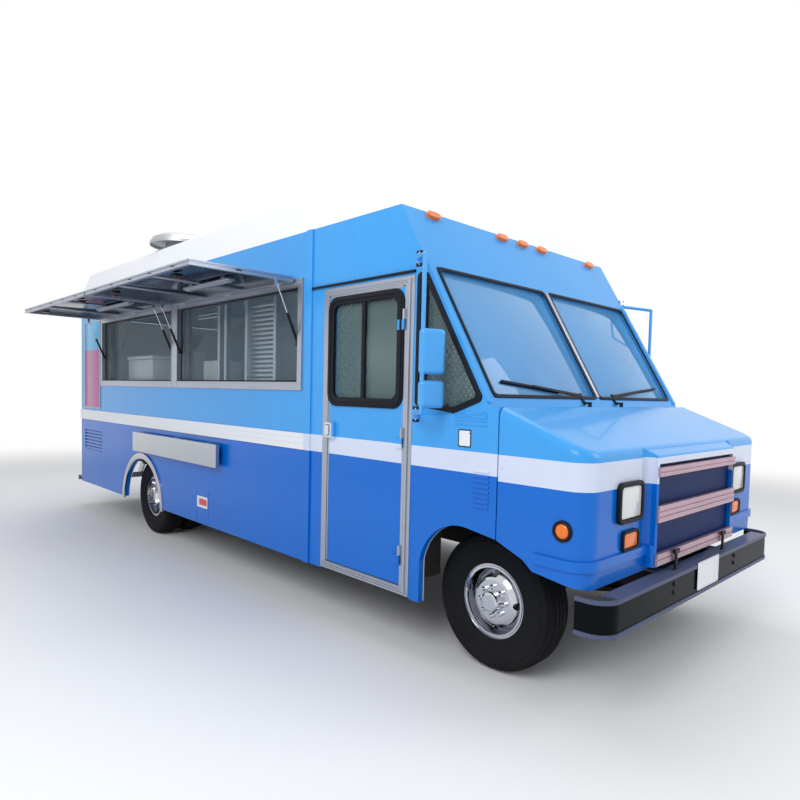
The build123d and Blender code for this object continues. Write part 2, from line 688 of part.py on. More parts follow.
# Front bumper: pressed channel with wrapped ends
bumper_low_z = 462
bumper_high_z = 640
bumper_face_x = 816
bumper_end_x = 650
bumper_half = half_width - 4
bumper_wall = 8
bumper_corner = 110
bumper_lip = 20
bumper_lip_proud = 6
plate_hole_pitch = 177.8
plate_hole_radius = 3.5
plate_hole_z = 600
with BuildPart() as front_bumper:
    with BuildSketch(Plane.XY.offset(bumper_low_z)):
        with Locations(((bumper_face_x + bumper_end_x) / 2, 0)):
            Rectangle(bumper_face_x - bumper_end_x, 2 * bumper_half)
        fillet(vertices().sort_by(Axis.X)[-2:], bumper_corner)
    extrude(amount=bumper_high_z - bumper_low_z)
    for level in (bumper_low_z, bumper_high_z - bumper_lip):
        with BuildSketch(Plane.XY.offset(level)):
            with Locations(((bumper_face_x + bumper_lip_proud + bumper_end_x) / 2, 0)):
                Rectangle(bumper_face_x + bumper_lip_proud - bumper_end_x, 2 * (bumper_half + bumper_lip_proud))
            fillet(vertices().sort_by(Axis.X)[-2:], bumper_corner + bumper_lip_proud)
        extrude(amount=bumper_lip)
    with BuildSketch(Plane.XY.offset(bumper_low_z)):
        with Locations(((bumper_face_x + bumper_end_x) / 2 - bumper_wall, 0)):
            Rectangle(bumper_face_x - bumper_end_x, 2 * (bumper_half - bumper_wall))
        fillet(vertices().sort_by(Axis.X)[-2:], bumper_corner - bumper_wall)
    extrude(amount=bumper_high_z - bumper_low_z, mode=Mode.SUBTRACT)
    for level in (bumper_low_z, bumper_high_z - bumper_wall):
        with BuildSketch(Plane.XY.offset(level)):
            with Locations((bumper_face_x - 45, 0)):
                Rectangle(90, 2 * (bumper_half - bumper_corner))
        extrude(amount=bumper_wall)
    for side in (1, -1):
        with Locations(((rail_front_x + bumper_face_x - bumper_wall) / 2, side * (rail_half_span - 35),
                        (bumper_low_z + bumper_high_z) / 2 + 10)):
            Box(bumper_face_x - bumper_wall - rail_front_x, 70, bumper_high_z - bumper_low_z - 40)
    with Locations(*[Location((bumper_face_x, side * plate_hole_pitch / 2, plate_hole_z), (0, 90, 0))
                     for side in (1, -1)]):
        Cylinder(plate_hole_radius, 4 * bumper_wall, mode=Mode.SUBTRACT)
keep(front_bumper, "front_bumper")

# Rear bumper: a low step on two brackets, with the hitch ball hole
step_rear_end_x = -6660
step_high_z = 400
step_low_z = 330
step_sheet = 8
hitch_radius = 12.7
step_x = (step_rear_end_x + rear_x - 10) / 2
step_length = rear_x - 10 - step_rear_end_x
with BuildPart() as rear_bumper:
    with BuildSketch(Plane.XZ.offset(-half_width + 20)):
        with Locations((step_x, (step_low_z + step_high_z) / 2)):
            Rectangle(step_length, step_high_z - step_low_z)
        with Locations((step_x, (step_low_z + step_high_z) / 2 - step_sheet)):
            Rectangle(step_length - 2 * step_sheet, step_high_z - step_low_z, mode=Mode.SUBTRACT)
    extrude(amount=2 * (half_width - 20))
    for side in (1, -1):
        with BuildSketch(Plane.XZ.offset(-side * (rail_half_span - 35) - 10)):
            with BuildLine():
                Polyline((rail_rear_x, rail_low_z), (rail_rear_x, rear_sill_z - 20),
                         (rail_rear_x - 60, rear_sill_z - 20), (step_x - 60, step_high_z - step_sheet),
                         (step_x + 60, step_high_z - step_sheet), close=True)
            make_face()
        extrude(amount=20)
    with Locations((step_x, 0, step_high_z)):
        Cylinder(hitch_radius, 4 * step_sheet, mode=Mode.SUBTRACT)
keep(rear_bumper, "rear_bumper")

# Front axle: dropped beam, king pin bosses and leaf springs
axle_z = tyre_radius
boss_radius = 38
boss_low_z = axle_z - 60
boss_high_z = axle_z + 60
kingpin_radius = 18
pin_clearance = 0.05
beam_drop_z = 330
spring_y = rail_half_span - 35
spring_width = 64
front_spring_half = 560
rear_spring_half = 700
spring_end_z = rail_low_z - 40


def leaf_spring(side, centre_x, half_length, centre_z, end_z):
    with BuildSketch(Plane.XZ.offset(-side * spring_y - spring_width / 2)) as leaf:
        with BuildLine():
            ThreePointArc((centre_x - half_length, end_z), (centre_x, centre_z), (centre_x + half_length, end_z))
            Line((centre_x + half_length, end_z), (centre_x + half_length, end_z + 12))
            ThreePointArc((centre_x + half_length, end_z + 12), (centre_x, centre_z + 40),
                          (centre_x - half_length, end_z + 12))
            Line((centre_x - half_length, end_z + 12), (centre_x - half_length, end_z))
        make_face()
    return leaf.sketch


def hanger_places(centre_x, half_length, end_z):
    return [(centre_x + end * (half_length - 20), side * spring_y, (end_z + rail_low_z) / 2 + 3)
            for side in (1, -1) for end in (1, -1)]


with BuildPart() as front_axle:
    with BuildSketch(Plane.XZ):
        with Locations((0, (beam_drop_z + 40))):
            Rectangle(70, 80)
        for flank in (1, -1):
            with Locations((flank * 35, beam_drop_z + 40)):
                Rectangle(44, 44, mode=Mode.SUBTRACT)
    extrude(amount=kingpin_y - 60, both=True)
    for side in (1, -1):
        with Locations((0, side * kingpin_y, axle_z)):
            Cylinder(boss_radius, boss_high_z - boss_low_z)
        with Locations((0, side * (kingpin_y - 50), axle_z)):
            Box(60, 60, 90)
        with Locations((0, side * kingpin_y, axle_z)):
            Cylinder(kingpin_radius + pin_clearance, 300, mode=Mode.SUBTRACT)
    for side in (1, -1):
        extrude(leaf_spring(side, 0, front_spring_half, beam_drop_z + 76, spring_end_z), amount=spring_width)
    with Locations(*hanger_places(0, front_spring_half, spring_end_z)):
        Box(40, spring_width, rail_low_z - spring_end_z - 6)
keep(front_axle, "front_axle")

# Rear axle: banjo housing, tubes and leaf springs
hub_face_y = (twin_outer_y + twin_inner_y) / 2
axle_tube_radius = 55
axle_end_radius = 40
banjo_radius = 165
with BuildPart() as rear_axle:
    with Locations(Location((-wheel_base, 0, axle_z), (90, 0, 0))):
        Cylinder(axle_tube_radius, 2 * (hub_face_y - 60))
        Cylinder(axle_end_radius, 2 * (hub_face_y + 20))
    with Locations((-wheel_base, 0, axle_z)):
        Sphere(banjo_radius)
    for side in (1, -1):
        extrude(leaf_spring(side, -wheel_base, rear_spring_half, axle_z + axle_tube_radius - 6, spring_end_z),
                amount=spring_width)
    with Locations(*hanger_places(-wheel_base, rear_spring_half, spring_end_z)):
        Box(40, spring_width, rail_low_z - spring_end_z - 6)
keep(rear_axle, "rear_axle")

# Underbody: gearbox and propeller shaft, fuel tank, and the exhaust with its silencer
gearbox_length = 540
gearbox_half = 150
gearbox_z = 575
tank_rear_x = -2900
tank_front_x = -2100
tank_inner_y = rail_half_span + 78
tank_outer_y = half_width - 102
tank_z = 560
tank_height = 320
tank_corner = 40
exhaust_y = 230
exhaust_z = 600
exhaust_radius = 28
silencer_x = -2650
silencer_radius = 85
silencer_length = 620
with BuildPart() as underbody:
    with Locations((engine_front_x - engine_length - gearbox_length / 2, 0, gearbox_z)):
        Box(gearbox_length, 2 * gearbox_half, 2 * gearbox_half - 40)
    banjo_centre = Vector(-wheel_base, 0, axle_z)
    shaft_start = Vector(engine_front_x - engine_length - gearbox_length + 20, 0, gearbox_z)
    shaft_dir = (shaft_start - banjo_centre).normalized()
    with BuildSketch(Plane(origin=banjo_centre + shaft_dir * (banjo_radius + gap), z_dir=shaft_dir)):
        Circle(45)
    extrude(amount=(shaft_start - banjo_centre).length - banjo_radius - gap)
    with Locations(((tank_rear_x + tank_front_x) / 2, -(tank_inner_y + tank_outer_y) / 2, tank_z)):
        Box(tank_front_x - tank_rear_x, tank_outer_y - tank_inner_y, tank_height)
        fillet(underbody.edges().filter_by(Axis.X).group_by(Axis.Y)[0], tank_corner)
    for band_x in (tank_rear_x + 150, tank_front_x - 150):
        with Locations((band_x, -(rail_half_span + tank_inner_y) / 2, tank_z + 40)):
            Box(40, tank_inner_y - rail_half_span, 60)
    exhaust_path = ((engine_front_x - engine_length - gap, exhaust_y, exhaust_z), (-3350, exhaust_y, exhaust_z),
                    (-3500, exhaust_y, exhaust_z - 130))
    for start, end in zip(exhaust_path, exhaust_path[1:]):
        run = Vector(end) - Vector(start)
        with BuildSketch(Plane(origin=start, z_dir=run)):
            Circle(exhaust_radius)
        extrude(amount=run.length)
    with Locations(exhaust_path[1]):
        Sphere(exhaust_radius)
    with Locations(Location((silencer_x, exhaust_y, exhaust_z - 30), (0, 90, 0))):
        Cylinder(silencer_radius, silencer_length)
    for hanger_x in (-900, -2000, -3300):
        with Locations((hanger_x, exhaust_y, (exhaust_z + member_z - member_height / 2 - gap) / 2)):
            Box(24, 24, member_z - member_height / 2 - gap - exhaust_z)
keep(underbody, "underbody")

# Knuckles: king pin, two arms and the stub that carries the front wheel
stub_radius = 30
stub_root_y = kingpin_y + 62
stub_length = 180
knuckle_arm = 24
hub_inner_y = kingpin_y + 95
for side, side_name in ((-1, "right"), (1, "left")):
    with BuildPart() as knuckle:
        with Locations((0, side * kingpin_y, axle_z)):
            Cylinder(kingpin_radius, boss_high_z - boss_low_z + 2 * knuckle_arm)
        for level in (boss_high_z + 0.5 + knuckle_arm / 2, boss_low_z - 0.5 - knuckle_arm / 2):
            with Locations((0, side * (kingpin_y + 20), level)):
                Box(70, 110, knuckle_arm)
        with Locations((0, side * stub_root_y, axle_z)):
            Box(70, 36, boss_high_z - boss_low_z + 2 * knuckle_arm + 1)
        with Locations(Location((0, side * (stub_root_y + stub_length / 2), axle_z), (90, 0, 0))):
            Cylinder(stub_radius, stub_length)
        with Locations((-110, side * (kingpin_y - 10), boss_low_z - 0.5 - knuckle_arm / 2)):
            Box(160, 40, knuckle_arm)
    keep(knuckle, f"knuckle_{side_name}")

# Front wheels and tyres
rim_half = 84
disc_y_front = 78
lug_count = 8
lug_circle_radius = 82.5
nut_radius = 14
nut_height = 16
nut_dome = 9
disc_thick = 10
hand_hole_circle = 154
hand_hole_count = 4
hand_hole_radius = 21


def tyre_section(centre_y):
    with BuildSketch(Plane.YZ) as section:
        with BuildLine():
            half = tyre_width / 2
            Polyline((centre_y - rim_half + 12, rim_radius + gap), (centre_y + rim_half - 12, rim_radius + gap))
            Line((centre_y + rim_half - 12, rim_radius + gap), (centre_y + rim_half - 12, rim_radius + 16))
            ThreePointArc((centre_y + rim_half - 12, rim_radius + 16), (centre_y + half, rim_radius + 100),
                          (centre_y + half - 22, tyre_radius - 12))
            ThreePointArc((centre_y + half - 22, tyre_radius - 12), (centre_y, tyre_radius),
                          (centre_y - half + 22, tyre_radius - 12))
            ThreePointArc((centre_y - half + 22, tyre_radius - 12), (centre_y - half, rim_radius + 100),
                          (centre_y - rim_half + 12, rim_radius + 16))
            Line((centre_y - rim_half + 12, rim_radius + 16), (centre_y - rim_half + 12, rim_radius + gap))
        make_face()
    return section.sketch


def rim_section(centre_y):
    # half of the section, mirrored about the wheel's middle plane: width from the middle, radius
    rim_profile = ((rim_half - 12, rim_radius), (rim_half - 12, flange_radius), (rim_half, flange_radius),
                   (rim_half, flange_radius - 7), (rim_half - 8, flange_radius - 9), (rim_half - 8, flange_radius - 15),
                   (rim_half - 1, flange_radius - 17), (rim_half - 1, flange_radius - 28),
                   (rim_half - 16, flange_radius - 28), (rim_half - 26, rim_radius - 8))
    with BuildSketch(Plane.YZ) as section:
        with BuildLine():
            Polyline(*[(centre_y + w, r) for w, r in rim_profile],
                     *[(centre_y - w, r) for w, r in reversed(rim_profile)], close=True)
        make_face()
    return section.sketch


def disc_section(centre_y, disc_y, side):
    # dome from the rim's well to a flat nut ring, one sheet thick: distance along the dome, radius
    dome = ((0, rim_radius - 4), (0.42, 176), (0.78, 152), (0.95, 132), (1, 118))
    depth = disc_y - centre_y
    with BuildSketch(Plane.YZ) as section:
        with BuildLine():
            Polyline(*[(centre_y + s * depth, r) for s, r in dome], (disc_y, 60), (disc_y - side * disc_thick, 60),
                     (disc_y - side * disc_thick, 114),
                     *[(centre_y + s * depth - side * disc_thick, r - disc_thick / 2) for s, r in reversed(dome[:-1])],
                     close=True)
        make_face()
    return section.sketch


def wheel_nuts(seat_y, side):
    with Locations(Location((0, seat_y + side * nut_height / 2, 0), (90, 0, 0))):
        with PolarLocations(lug_circle_radius, lug_count):
            Cylinder(nut_radius, nut_height)
    with Locations(Location((0, seat_y + side * (nut_height + nut_dome / 2), 0), (-side * 90, 0, 0))):
        with PolarLocations(lug_circle_radius, lug_count):
            Cone(nut_radius, nut_radius / 2, nut_dome)


def hand_holes(disc_y):
    with Locations(Location((0, disc_y, 0), (90, 0, 0))):
        with PolarLocations(hand_hole_circle, hand_hole_count):
            Cylinder(hand_hole_radius, 240, mode=Mode.SUBTRACT)


for side, side_name in ((-1, "right"), (1, "left")):
    wheel_y = side * front_track_half
    disc_y = wheel_y + side * disc_y_front
    with BuildPart() as front_wheel:
        revolve(rim_section(wheel_y), axis=Axis.Y)
        revolve(disc_section(wheel_y, disc_y, side), axis=Axis.Y)
        hub_outer_y = side * (front_track_half + disc_y_front + 45)
        bore_end_y = side * (stub_root_y + stub_length + 1)
        with BuildSketch(Plane.YZ):
            with BuildLine():
                Polyline((side * hub_inner_y, stub_radius + pin_clearance), (side * hub_inner_y, 75),
                         (disc_y - side * disc_thick, 75), (disc_y - side * disc_thick, 60.5), (disc_y, 60.5),
                         (hub_outer_y - side * 12, 60), (hub_outer_y - side * 4, 55), (hub_outer_y, 44),
                         (hub_outer_y, 0),
                         (bore_end_y, 0), (bore_end_y, stub_radius + pin_clearance), close=True)
            make_face()
        revolve(axis=Axis.Y)
        hand_holes(disc_y)
        wheel_nuts(disc_y, side)
    front_wheel.part.position = (0, 0, axle_z)
    keep(front_wheel, f"front_wheel_{side_name}")
    with BuildPart() as front_tyre:
        revolve(tyre_section(wheel_y), axis=Axis.Y)
    front_tyre.part.position = (0, 0, axle_z)
    keep(front_tyre, f"front_tyre_{side_name}")

# Rear twin wheels and tyres
for side, side_name in ((-1, "right"), (1, "left")):
    with BuildPart() as rear_wheel:
        for centre_y, disc in ((twin_outer_y, hub_face_y + 10), (twin_inner_y, hub_face_y)):
            flip = -1 if centre_y == twin_outer_y else 1
            revolve(rim_section(side * centre_y), axis=Axis.Y)
            revolve(disc_section(side * centre_y, side * disc, side * flip), axis=Axis.Y)
        with BuildSketch(Plane.YZ):
            with BuildLine():
                Polyline((side * (hub_face_y - 50), axle_end_radius + pin_clearance), (side * (hub_face_y - 50), 90),
                         (side * (hub_face_y + 5), 90), (side * (hub_face_y + 5), 70), (side * (hub_face_y + 90), 62),
                         (side * (hub_face_y + 100), 50), (side * (hub_face_y + 100), 0),
                         (side * (hub_face_y + 21), 0), (side * (hub_face_y + 21), axle_end_radius + pin_clearance),
                         close=True)
            make_face()
        revolve(axis=Axis.Y)
        hand_holes(side * hub_face_y)
        wheel_nuts(side * (hub_face_y + 10), side)
    rear_wheel.part.position = (-wheel_base, 0, axle_z)
    keep(rear_wheel, f"rear_wheels_{side_name}")
    with BuildPart() as rear_tyre:
        revolve(tyre_section(side * twin_outer_y), axis=Axis.Y)
        revolve(tyre_section(side * twin_inner_y), axis=Axis.Y)
    rear_tyre.part.position = (-wheel_base, 0, axle_z)
    keep(rear_tyre, f"rear_tyres_{side_name}")

# Cab doors, hinged at the front edge, with their glass
leaf_rear_x = door_opening_rear_x + door_gap
leaf_front_x = door_opening_front_x - door_gap
leaf_low_z = door_low_z + door_gap
leaf_high_z = door_high_z - door_gap
door_window = (leaf_rear_x + 45, leaf_front_x - 45, 1510, 2135)
door_window_radius = 60


def door_window_sketch(margin, mode):
    low_x, high_x, low_z, high_z = door_window
    with Locations(((low_x + high_x) / 2, (low_z + high_z) / 2)):
        RectangleRounded(high_x - low_x - 2 * margin, high_z - low_z - 2 * margin, door_window_radius - margin,
                         mode=mode)


for side, side_name in ((-1, "right"), (1, "left")):
    outer_plane = Plane.XZ.offset(-side * half_width)
    with BuildPart() as cab_door:
        with BuildSketch(outer_plane):
            with Locations(((leaf_rear_x + leaf_front_x) / 2, (leaf_low_z + leaf_high_z) / 2)):
                Rectangle(leaf_front_x - leaf_rear_x, leaf_high_z - leaf_low_z)
            door_window_sketch(0, Mode.SUBTRACT)
        extrude(amount=side * door_thick)
        for level in door_hinge_levels:
            with Locations((door_hinge_x, side * door_hinge_y, level)):
                Cylinder(hinge_radius, hinge_length)
            with Locations(((leaf_front_x + door_hinge_x) / 2 - 25, side * (half_width + 10), level)):
                Box(door_hinge_x - leaf_front_x + 50, 6, hinge_length)
            with Locations((leaf_front_x - 25, side * (half_width + 5), level)):
                Box(50, 10, hinge_length)
        with Locations(((leaf_rear_x + 45), side * (half_width + 12), 1298)):
            Box(80, 24, 104)
    keep(cab_door, f"cab_door_{side_name}")
    with BuildPart() as door_glass:
        with BuildSketch(Plane.XZ.offset(-side * (half_width - 15))):
            door_window_sketch(gap, Mode.ADD)
        extrude(amount=side * glass_thick)
    keep(door_glass, f"door_glass_{side_name}")

# Rear doors
for side, side_name in ((-1, "right"), (1, "left")):
    with BuildPart() as rear_door:
        with Locations((rear_x + door_thick / 2, side * rear_door_half / 2, (rear_door_low_z + rear_door_high_z) / 2)):
            Box(door_thick, rear_door_half - 2 * door_gap, rear_door_high_z - rear_door_low_z - 2 * door_gap)
        for level in rear_hinge_levels:
            with Locations((rear_hinge_x, side * rear_door_half, level)):
                Cylinder(hinge_radius, hinge_length)
            with Locations((rear_hinge_x, side * (rear_door_half - 40), level)):
                Box(8, 80, hinge_length)
            with Locations(((rear_hinge_x + rear_x) / 2, side * (rear_door_half - 45), level)):
                Box(rear_x - rear_hinge_x, 70, hinge_length)
    keep(rear_door, f"rear_door_{side_name}")

# Awnings: flat panels hinged along the top of the serving window
strut_low_y = half_width - 12
strut_low_z = serve_low_z + 331
strut_up_y = half_width + 168
strut_up_z = awning_hinge_z - 35
strut_radius = 10
rod_radius = 4
rod_clearance = 0.1
strut_off_jamb = 20
eye_half = 12
cylinder_length = 235
bore_start = 50
rod_start = 215
strut_places = {
    "rear": ((serve_rear_x + frame_face, 1), (serve_post_x - serve_post_width / 2, -1)),
    "front": ((serve_post_x + serve_post_width / 2, 1), (serve_front_x - frame_face, -1)),
}
for awning_name, low_x, high_x in awning_table:
    strut_xs = [(jamb_x + inward * strut_off_jamb, inward) for jamb_x, inward in strut_places[awning_name]]
    with BuildPart() as awning:
        with Locations(((low_x + high_x) / 2, -awning_hinge_y - awning_edge - awning_depth / 2,
                        awning_hinge_z + awning_thick / 2)):
            Box(high_x - low_x, awning_depth, awning_thick)
        with Locations(((low_x + high_x) / 2, -awning_hinge_y - awning_edge - awning_depth / 2,
                        awning_hinge_z + awning_recess / 2)):
            Box(high_x - low_x - 2 * awning_rim, awning_depth - 2 * awning_rim, awning_recess, mode=Mode.SUBTRACT)
        with Locations(((low_x + high_x) / 2, -awning_hinge_y - awning_edge - awning_depth,
                        awning_hinge_z + awning_thick / 2)):
            Box(high_x - low_x + 2, 2 * awning_groove_depth, awning_groove, mode=Mode.SUBTRACT)
        for edge_x in (low_x, high_x):
            with Locations((edge_x, -awning_hinge_y - awning_edge - awning_depth / 2,
                            awning_hinge_z + awning_thick / 2)):
                Box(2 * awning_groove_depth, awning_depth + 2, awning_groove, mode=Mode.SUBTRACT)
        for strut_x, inward in strut_xs:
            with Locations((strut_x + inward * (eye_half + 1 + 4), -strut_up_y,
                            (strut_up_z - 12 + awning_hinge_z + awning_recess) / 2)):
                Box(8, 24, awning_hinge_z + awning_recess - strut_up_z + 12)
        for station in awning_stations(low_x, high_x):
            mate = station + hinge_length + hinge_end_gap
            with Locations(Location((mate, -awning_hinge_y, awning_hinge_z), (0, 90, 0))):
                Cylinder(awning_barrel, hinge_length)
            with Locations((mate, -awning_hinge_y - awning_edge / 2 - 5, awning_hinge_z + awning_barrel / 2)):
                Box(hinge_length, awning_edge + 10, awning_barrel)
    keep(awning, f"awning_{awning_name}")
    strut_vector = Vector(0, -(strut_up_y - strut_low_y), strut_up_z - strut_low_z)
    strut_dir = strut_vector.normalized()
    with BuildPart() as cylinders:
        for strut_x, inward in strut_xs:
            foot = Vector(strut_x, -strut_low_y, strut_low_z)
            with BuildSketch(Plane(origin=foot, z_dir=strut_dir)):
                Circle(strut_radius)
            extrude(amount=cylinder_length)
            with Locations(Location(foot, (0, 90, 0))):
                Cylinder(eye_half, 2 * (strut_off_jamb - gap))
            with BuildSketch(Plane(origin=foot + strut_dir * bore_start, z_dir=strut_dir)):
                Circle(rod_radius + rod_clearance)
            extrude(amount=cylinder_length, mode=Mode.SUBTRACT)
    keep(cylinders, f"awning_{awning_name}_cylinders")
    with BuildPart() as rods:
        for strut_x, inward in strut_xs:
            foot = Vector(strut_x, -strut_low_y, strut_low_z)
            with BuildSketch(Plane(origin=foot + strut_dir * rod_start, z_dir=strut_dir)):
                Circle(rod_radius)
            extrude(amount=strut_vector.length - rod_start)
            with Locations(Location((strut_x, -strut_up_y, strut_up_z), (0, 90, 0))):
                Cylinder(9, 2 * eye_half)
    keep(rods, f"awning_{awning_name}_rods")

# Fold-down shelf under the serving window
with BuildPart() as shelf:
    with Locations(((shelf_rear_x + shelf_front_x) / 2, -shelf_inner_y - shelf_thick / 2,
                    (shelf_low_z + shelf_high_z) / 2)):
        Box(shelf_front_x - shelf_rear_x, shelf_thick, shelf_high_z - shelf_low_z)
    for station in shelf_stations:
        mate = station + hinge_length + hinge_end_gap
        with Locations(Location((mate, -shelf_hinge_y, shelf_hinge_z), (0, 90, 0))):
            Cylinder(awning_barrel, hinge_length)
        with Locations((mate, -shelf_inner_y - 2, shelf_hinge_z)):
            Box(hinge_length, 8, 2 * awning_barrel - 2)
keep(shelf, "shelf")

# Mirrors: tube bar with two rounded painted heads on each side, turned to the driver
mirror_foot_x = -415
mirror_foot = 56
mirror_foot_thick = 12
mirror_bar_x = -200
mirror_bar_y = half_width + 178
mirror_tube = 12
mirror_top_z = 2295
mirror_low_z = 1455
mirror_foot_high_z = 2329
mirror_foot_low_z = 1438
mirror_head_x = -186
mirror_head_y = half_width + 120
mirror_head_width = 146
mirror_head_thick = 56
mirror_yaw = 20
mirror_round = 22
mirror_heads = (
    # low z, high z
    (1661, 1906),
    (1481, 1629),
)
with BuildPart() as mirrors:
    for side in (1, -1):
        foot_y = side * (half_width + mirror_foot_thick + 2)
        bar = ((mirror_foot_x, foot_y, mirror_foot_high_z), (mirror_bar_x, side * mirror_bar_y, mirror_top_z),
               (mirror_bar_x, side * mirror_bar_y, mirror_low_z), (mirror_foot_x, foot_y, mirror_foot_low_z))
        for start, end in zip(bar, bar[1:]):
            run = Vector(end) - Vector(start)
            with BuildSketch(Plane(origin=start, z_dir=run)):
                Circle(mirror_tube)
            extrude(amount=run.length)
        for bend in bar:
            with Locations(bend):
                Sphere(mirror_tube)
        for foot_z in (mirror_foot_high_z, mirror_foot_low_z):
            with Locations((mirror_foot_x, side * (half_width + mirror_foot_thick / 2), foot_z)):
                Box(mirror_foot, mirror_foot_thick, mirror_foot)
        for low_z, high_z in mirror_heads:
            with BuildPart(mode=Mode.PRIVATE) as head:
                Box(mirror_head_thick, mirror_head_width, high_z - low_z)
                fillet(head.edges(), mirror_round)
            add(head.part.moved(Location((mirror_head_x, side * mirror_head_y, (low_z + high_z) / 2),
                                         (0, 0, side * mirror_yaw))))
            for clamp_z in (low_z + 40, high_z - 40):
                with Locations(((mirror_bar_x + mirror_head_x) / 2, side * (mirror_bar_y + mirror_head_y) / 2,
                                clamp_z)):
                    Box(24, mirror_bar_y - mirror_head_y, 16)
mirror_reach = (mirror_head_y + mirror_head_width / 2 * math.cos(math.radians(mirror_yaw))
                + mirror_head_thick / 2 * math.sin(math.radians(mirror_yaw)))
keep(mirrors, "mirrors")

# Lamps on the body: clearance lamps on the header and tail lamps
lamp_z = 2640
header_lamp_y = half_width - 242
tail_lamp_y = half_width - 222
with BuildPart() as marker_lamps:
    for y in (-header_lamp_y, -240, 0, 240, header_lamp_y):
        lamp_plane = Plane(origin=(front_x_at(lamp_z), y, lamp_z), x_dir=(0, 1, 0), z_dir=(1, 0, front_run))
        with BuildSketch(lamp_plane):
            SlotOverall(110, 44)
        extrude(amount=26)
    for side in (1, -1):
        for z in (900, 1040):
            with Locations(Location((rear_x - 12, side * tail_lamp_y, z), (0, 90, 0))):
                Cylinder(52, 24)
keep(marker_lamps, "marker_lamps")

# Wipers on the cowl: a spindle, an arm along the glass and a blade
wiper_pivot_x = 148
wiper_pivot_y = 205
wiper_foot_x = 108
blade_inner_y = 420
blade_outer_y = 961
blade_inner_up = 46
blade_outer_up = 101
blade_width = 12
with BuildPart() as wipers:
    for side in (1, -1):
        pivot_y = side * wiper_pivot_y
        with Locations((wiper_pivot_x, pivot_y, cowl_z + 15)):
            Cylinder(12, 30)
        with Locations(((wiper_pivot_x + wiper_foot_x) / 2, pivot_y, cowl_z + 24)):
            Box(wiper_pivot_x - wiper_foot_x, 20, 12)
        with BuildSketch(slant.offset(gap)):
            with Locations((pivot_y, 0)):
                Rectangle(20, 80)
        extrude(amount=10)
        with BuildSketch(slant.offset(2)):
            arm_end_y = side * (blade_inner_y + blade_outer_y) / 2
            arm_end_up = (blade_inner_up + blade_outer_up) / 2
            with BuildLine():
                Polyline((pivot_y, 8), (arm_end_y, arm_end_up), (arm_end_y, arm_end_up + blade_width),
                         (pivot_y, 8 + 2 * blade_width), close=True)
            make_face()
        extrude(amount=8)
        with BuildSketch(slant.offset(gap - glass_depth)):
            with BuildLine():
                Polyline((side * blade_inner_y, blade_inner_up), (side * blade_outer_y, blade_outer_up),
                         (side * blade_outer_y, blade_outer_up + blade_width),
                         (side * blade_inner_y, blade_inner_up + blade_width), close=True)
            make_face()
        extrude(amount=glass_depth + 5)
keep(wipers, "wipers")

# Roof exhaust fan: curb, neck and a wide domed cap
fan_x = -4450
fan_y = -roof_half_width + 303
fan_curb_half = 210
fan_curb_height = 50
fan_neck_radius = 175
fan_neck_high = 100
fan_cap_profile = ((0, 219), (120, 216), (230, 198), (300, 165), (330, 120), (330, 92), (322, 92), (318, 118), (0, 118))
with BuildPart() as roof_vent:
    with Locations((fan_x, fan_y, roof_top_z + fan_curb_height / 2)):
        Box(2 * fan_curb_half, 2 * fan_curb_half, fan_curb_height)
    with Locations((fan_x, fan_y, roof_top_z + (fan_curb_height + fan_neck_high) / 2)):
        Cylinder(fan_neck_radius, fan_neck_high)
    fan_base = Vector(fan_x, fan_y, roof_top_z)
    with BuildSketch(Plane(origin=fan_base, x_dir=(1, 0, 0), z_dir=(0, -1, 0))):
        with BuildLine():
            Polyline(*fan_cap_profile, close=True)
        make_face()
    revolve(axis=Axis(fan_base, (0, 0, 1)))
keep(roof_vent, "roof_vent")

# Driver seat
seat_y = inner_half - 482
seat_x = -760
with BuildPart() as driver_seat:
    with Locations((seat_x, seat_y, floor_z + 200)):
        Box(260, 260, 400)
    with Locations((seat_x, seat_y, floor_z + 400 + 55)):
        Box(480, 480, 110)
    with Locations((seat_x - 250, seat_y, floor_z + 400 + 400)):
        Box(110, 470, 620)
keep(driver_seat, "driver_seat")

# Dashboard with the engine cover and the steering column
wheel_tilt = 35
steer_centre = Vector(-330, seat_y, 1440)
column_dir = Vector(-math.sin(math.radians(wheel_tilt)), 0, math.cos(math.radians(wheel_tilt)))
column_radius = 30
column_length = ((steer_centre.Z - front_house_top_z - gap - column_radius * abs(column_dir.X)) / column_dir.Z
                 - column_radius)
cover_half = 375
dash_half = inner_half - 12
cover_top_z = 1210
cover_rear_x = -640
with BuildPart() as dashboard:
    with BuildSketch(Plane.XZ.offset(-dash_half)):
        with BuildLine():
            Polyline((120, cowl_z - 60), (front_x_at(cowl_z) - front_wall_run, cowl_z - 60), (-150, cowl_z - 75),
                     (-190, 1330), (-60, cover_top_z), (120, cover_top_z), close=True)
        make_face()
    extrude(amount=2 * dash_half)
    with Locations(((cover_rear_x + 160) / 2, 0, (floor_z + cover_top_z) / 2)):
        Box(160 - cover_rear_x, 2 * cover_half, cover_top_z - floor_z)
    with Locations(((cover_rear_x + 160) / 2 + sheet, 0, (floor_z + cover_top_z) / 2 - sheet)):
        Box(160 - cover_rear_x, 2 * (cover_half - sheet), cover_top_z - floor_z + 2 * sheet, mode=Mode.SUBTRACT)
    with BuildSketch(Plane(origin=steer_centre - column_dir * 30, z_dir=-column_dir)):
        Circle(column_radius)
    extrude(amount=column_length)
    with Locations((-175, seat_y, 1280)):
        Box(130, 60, 40)
keep(dashboard, "dashboard")

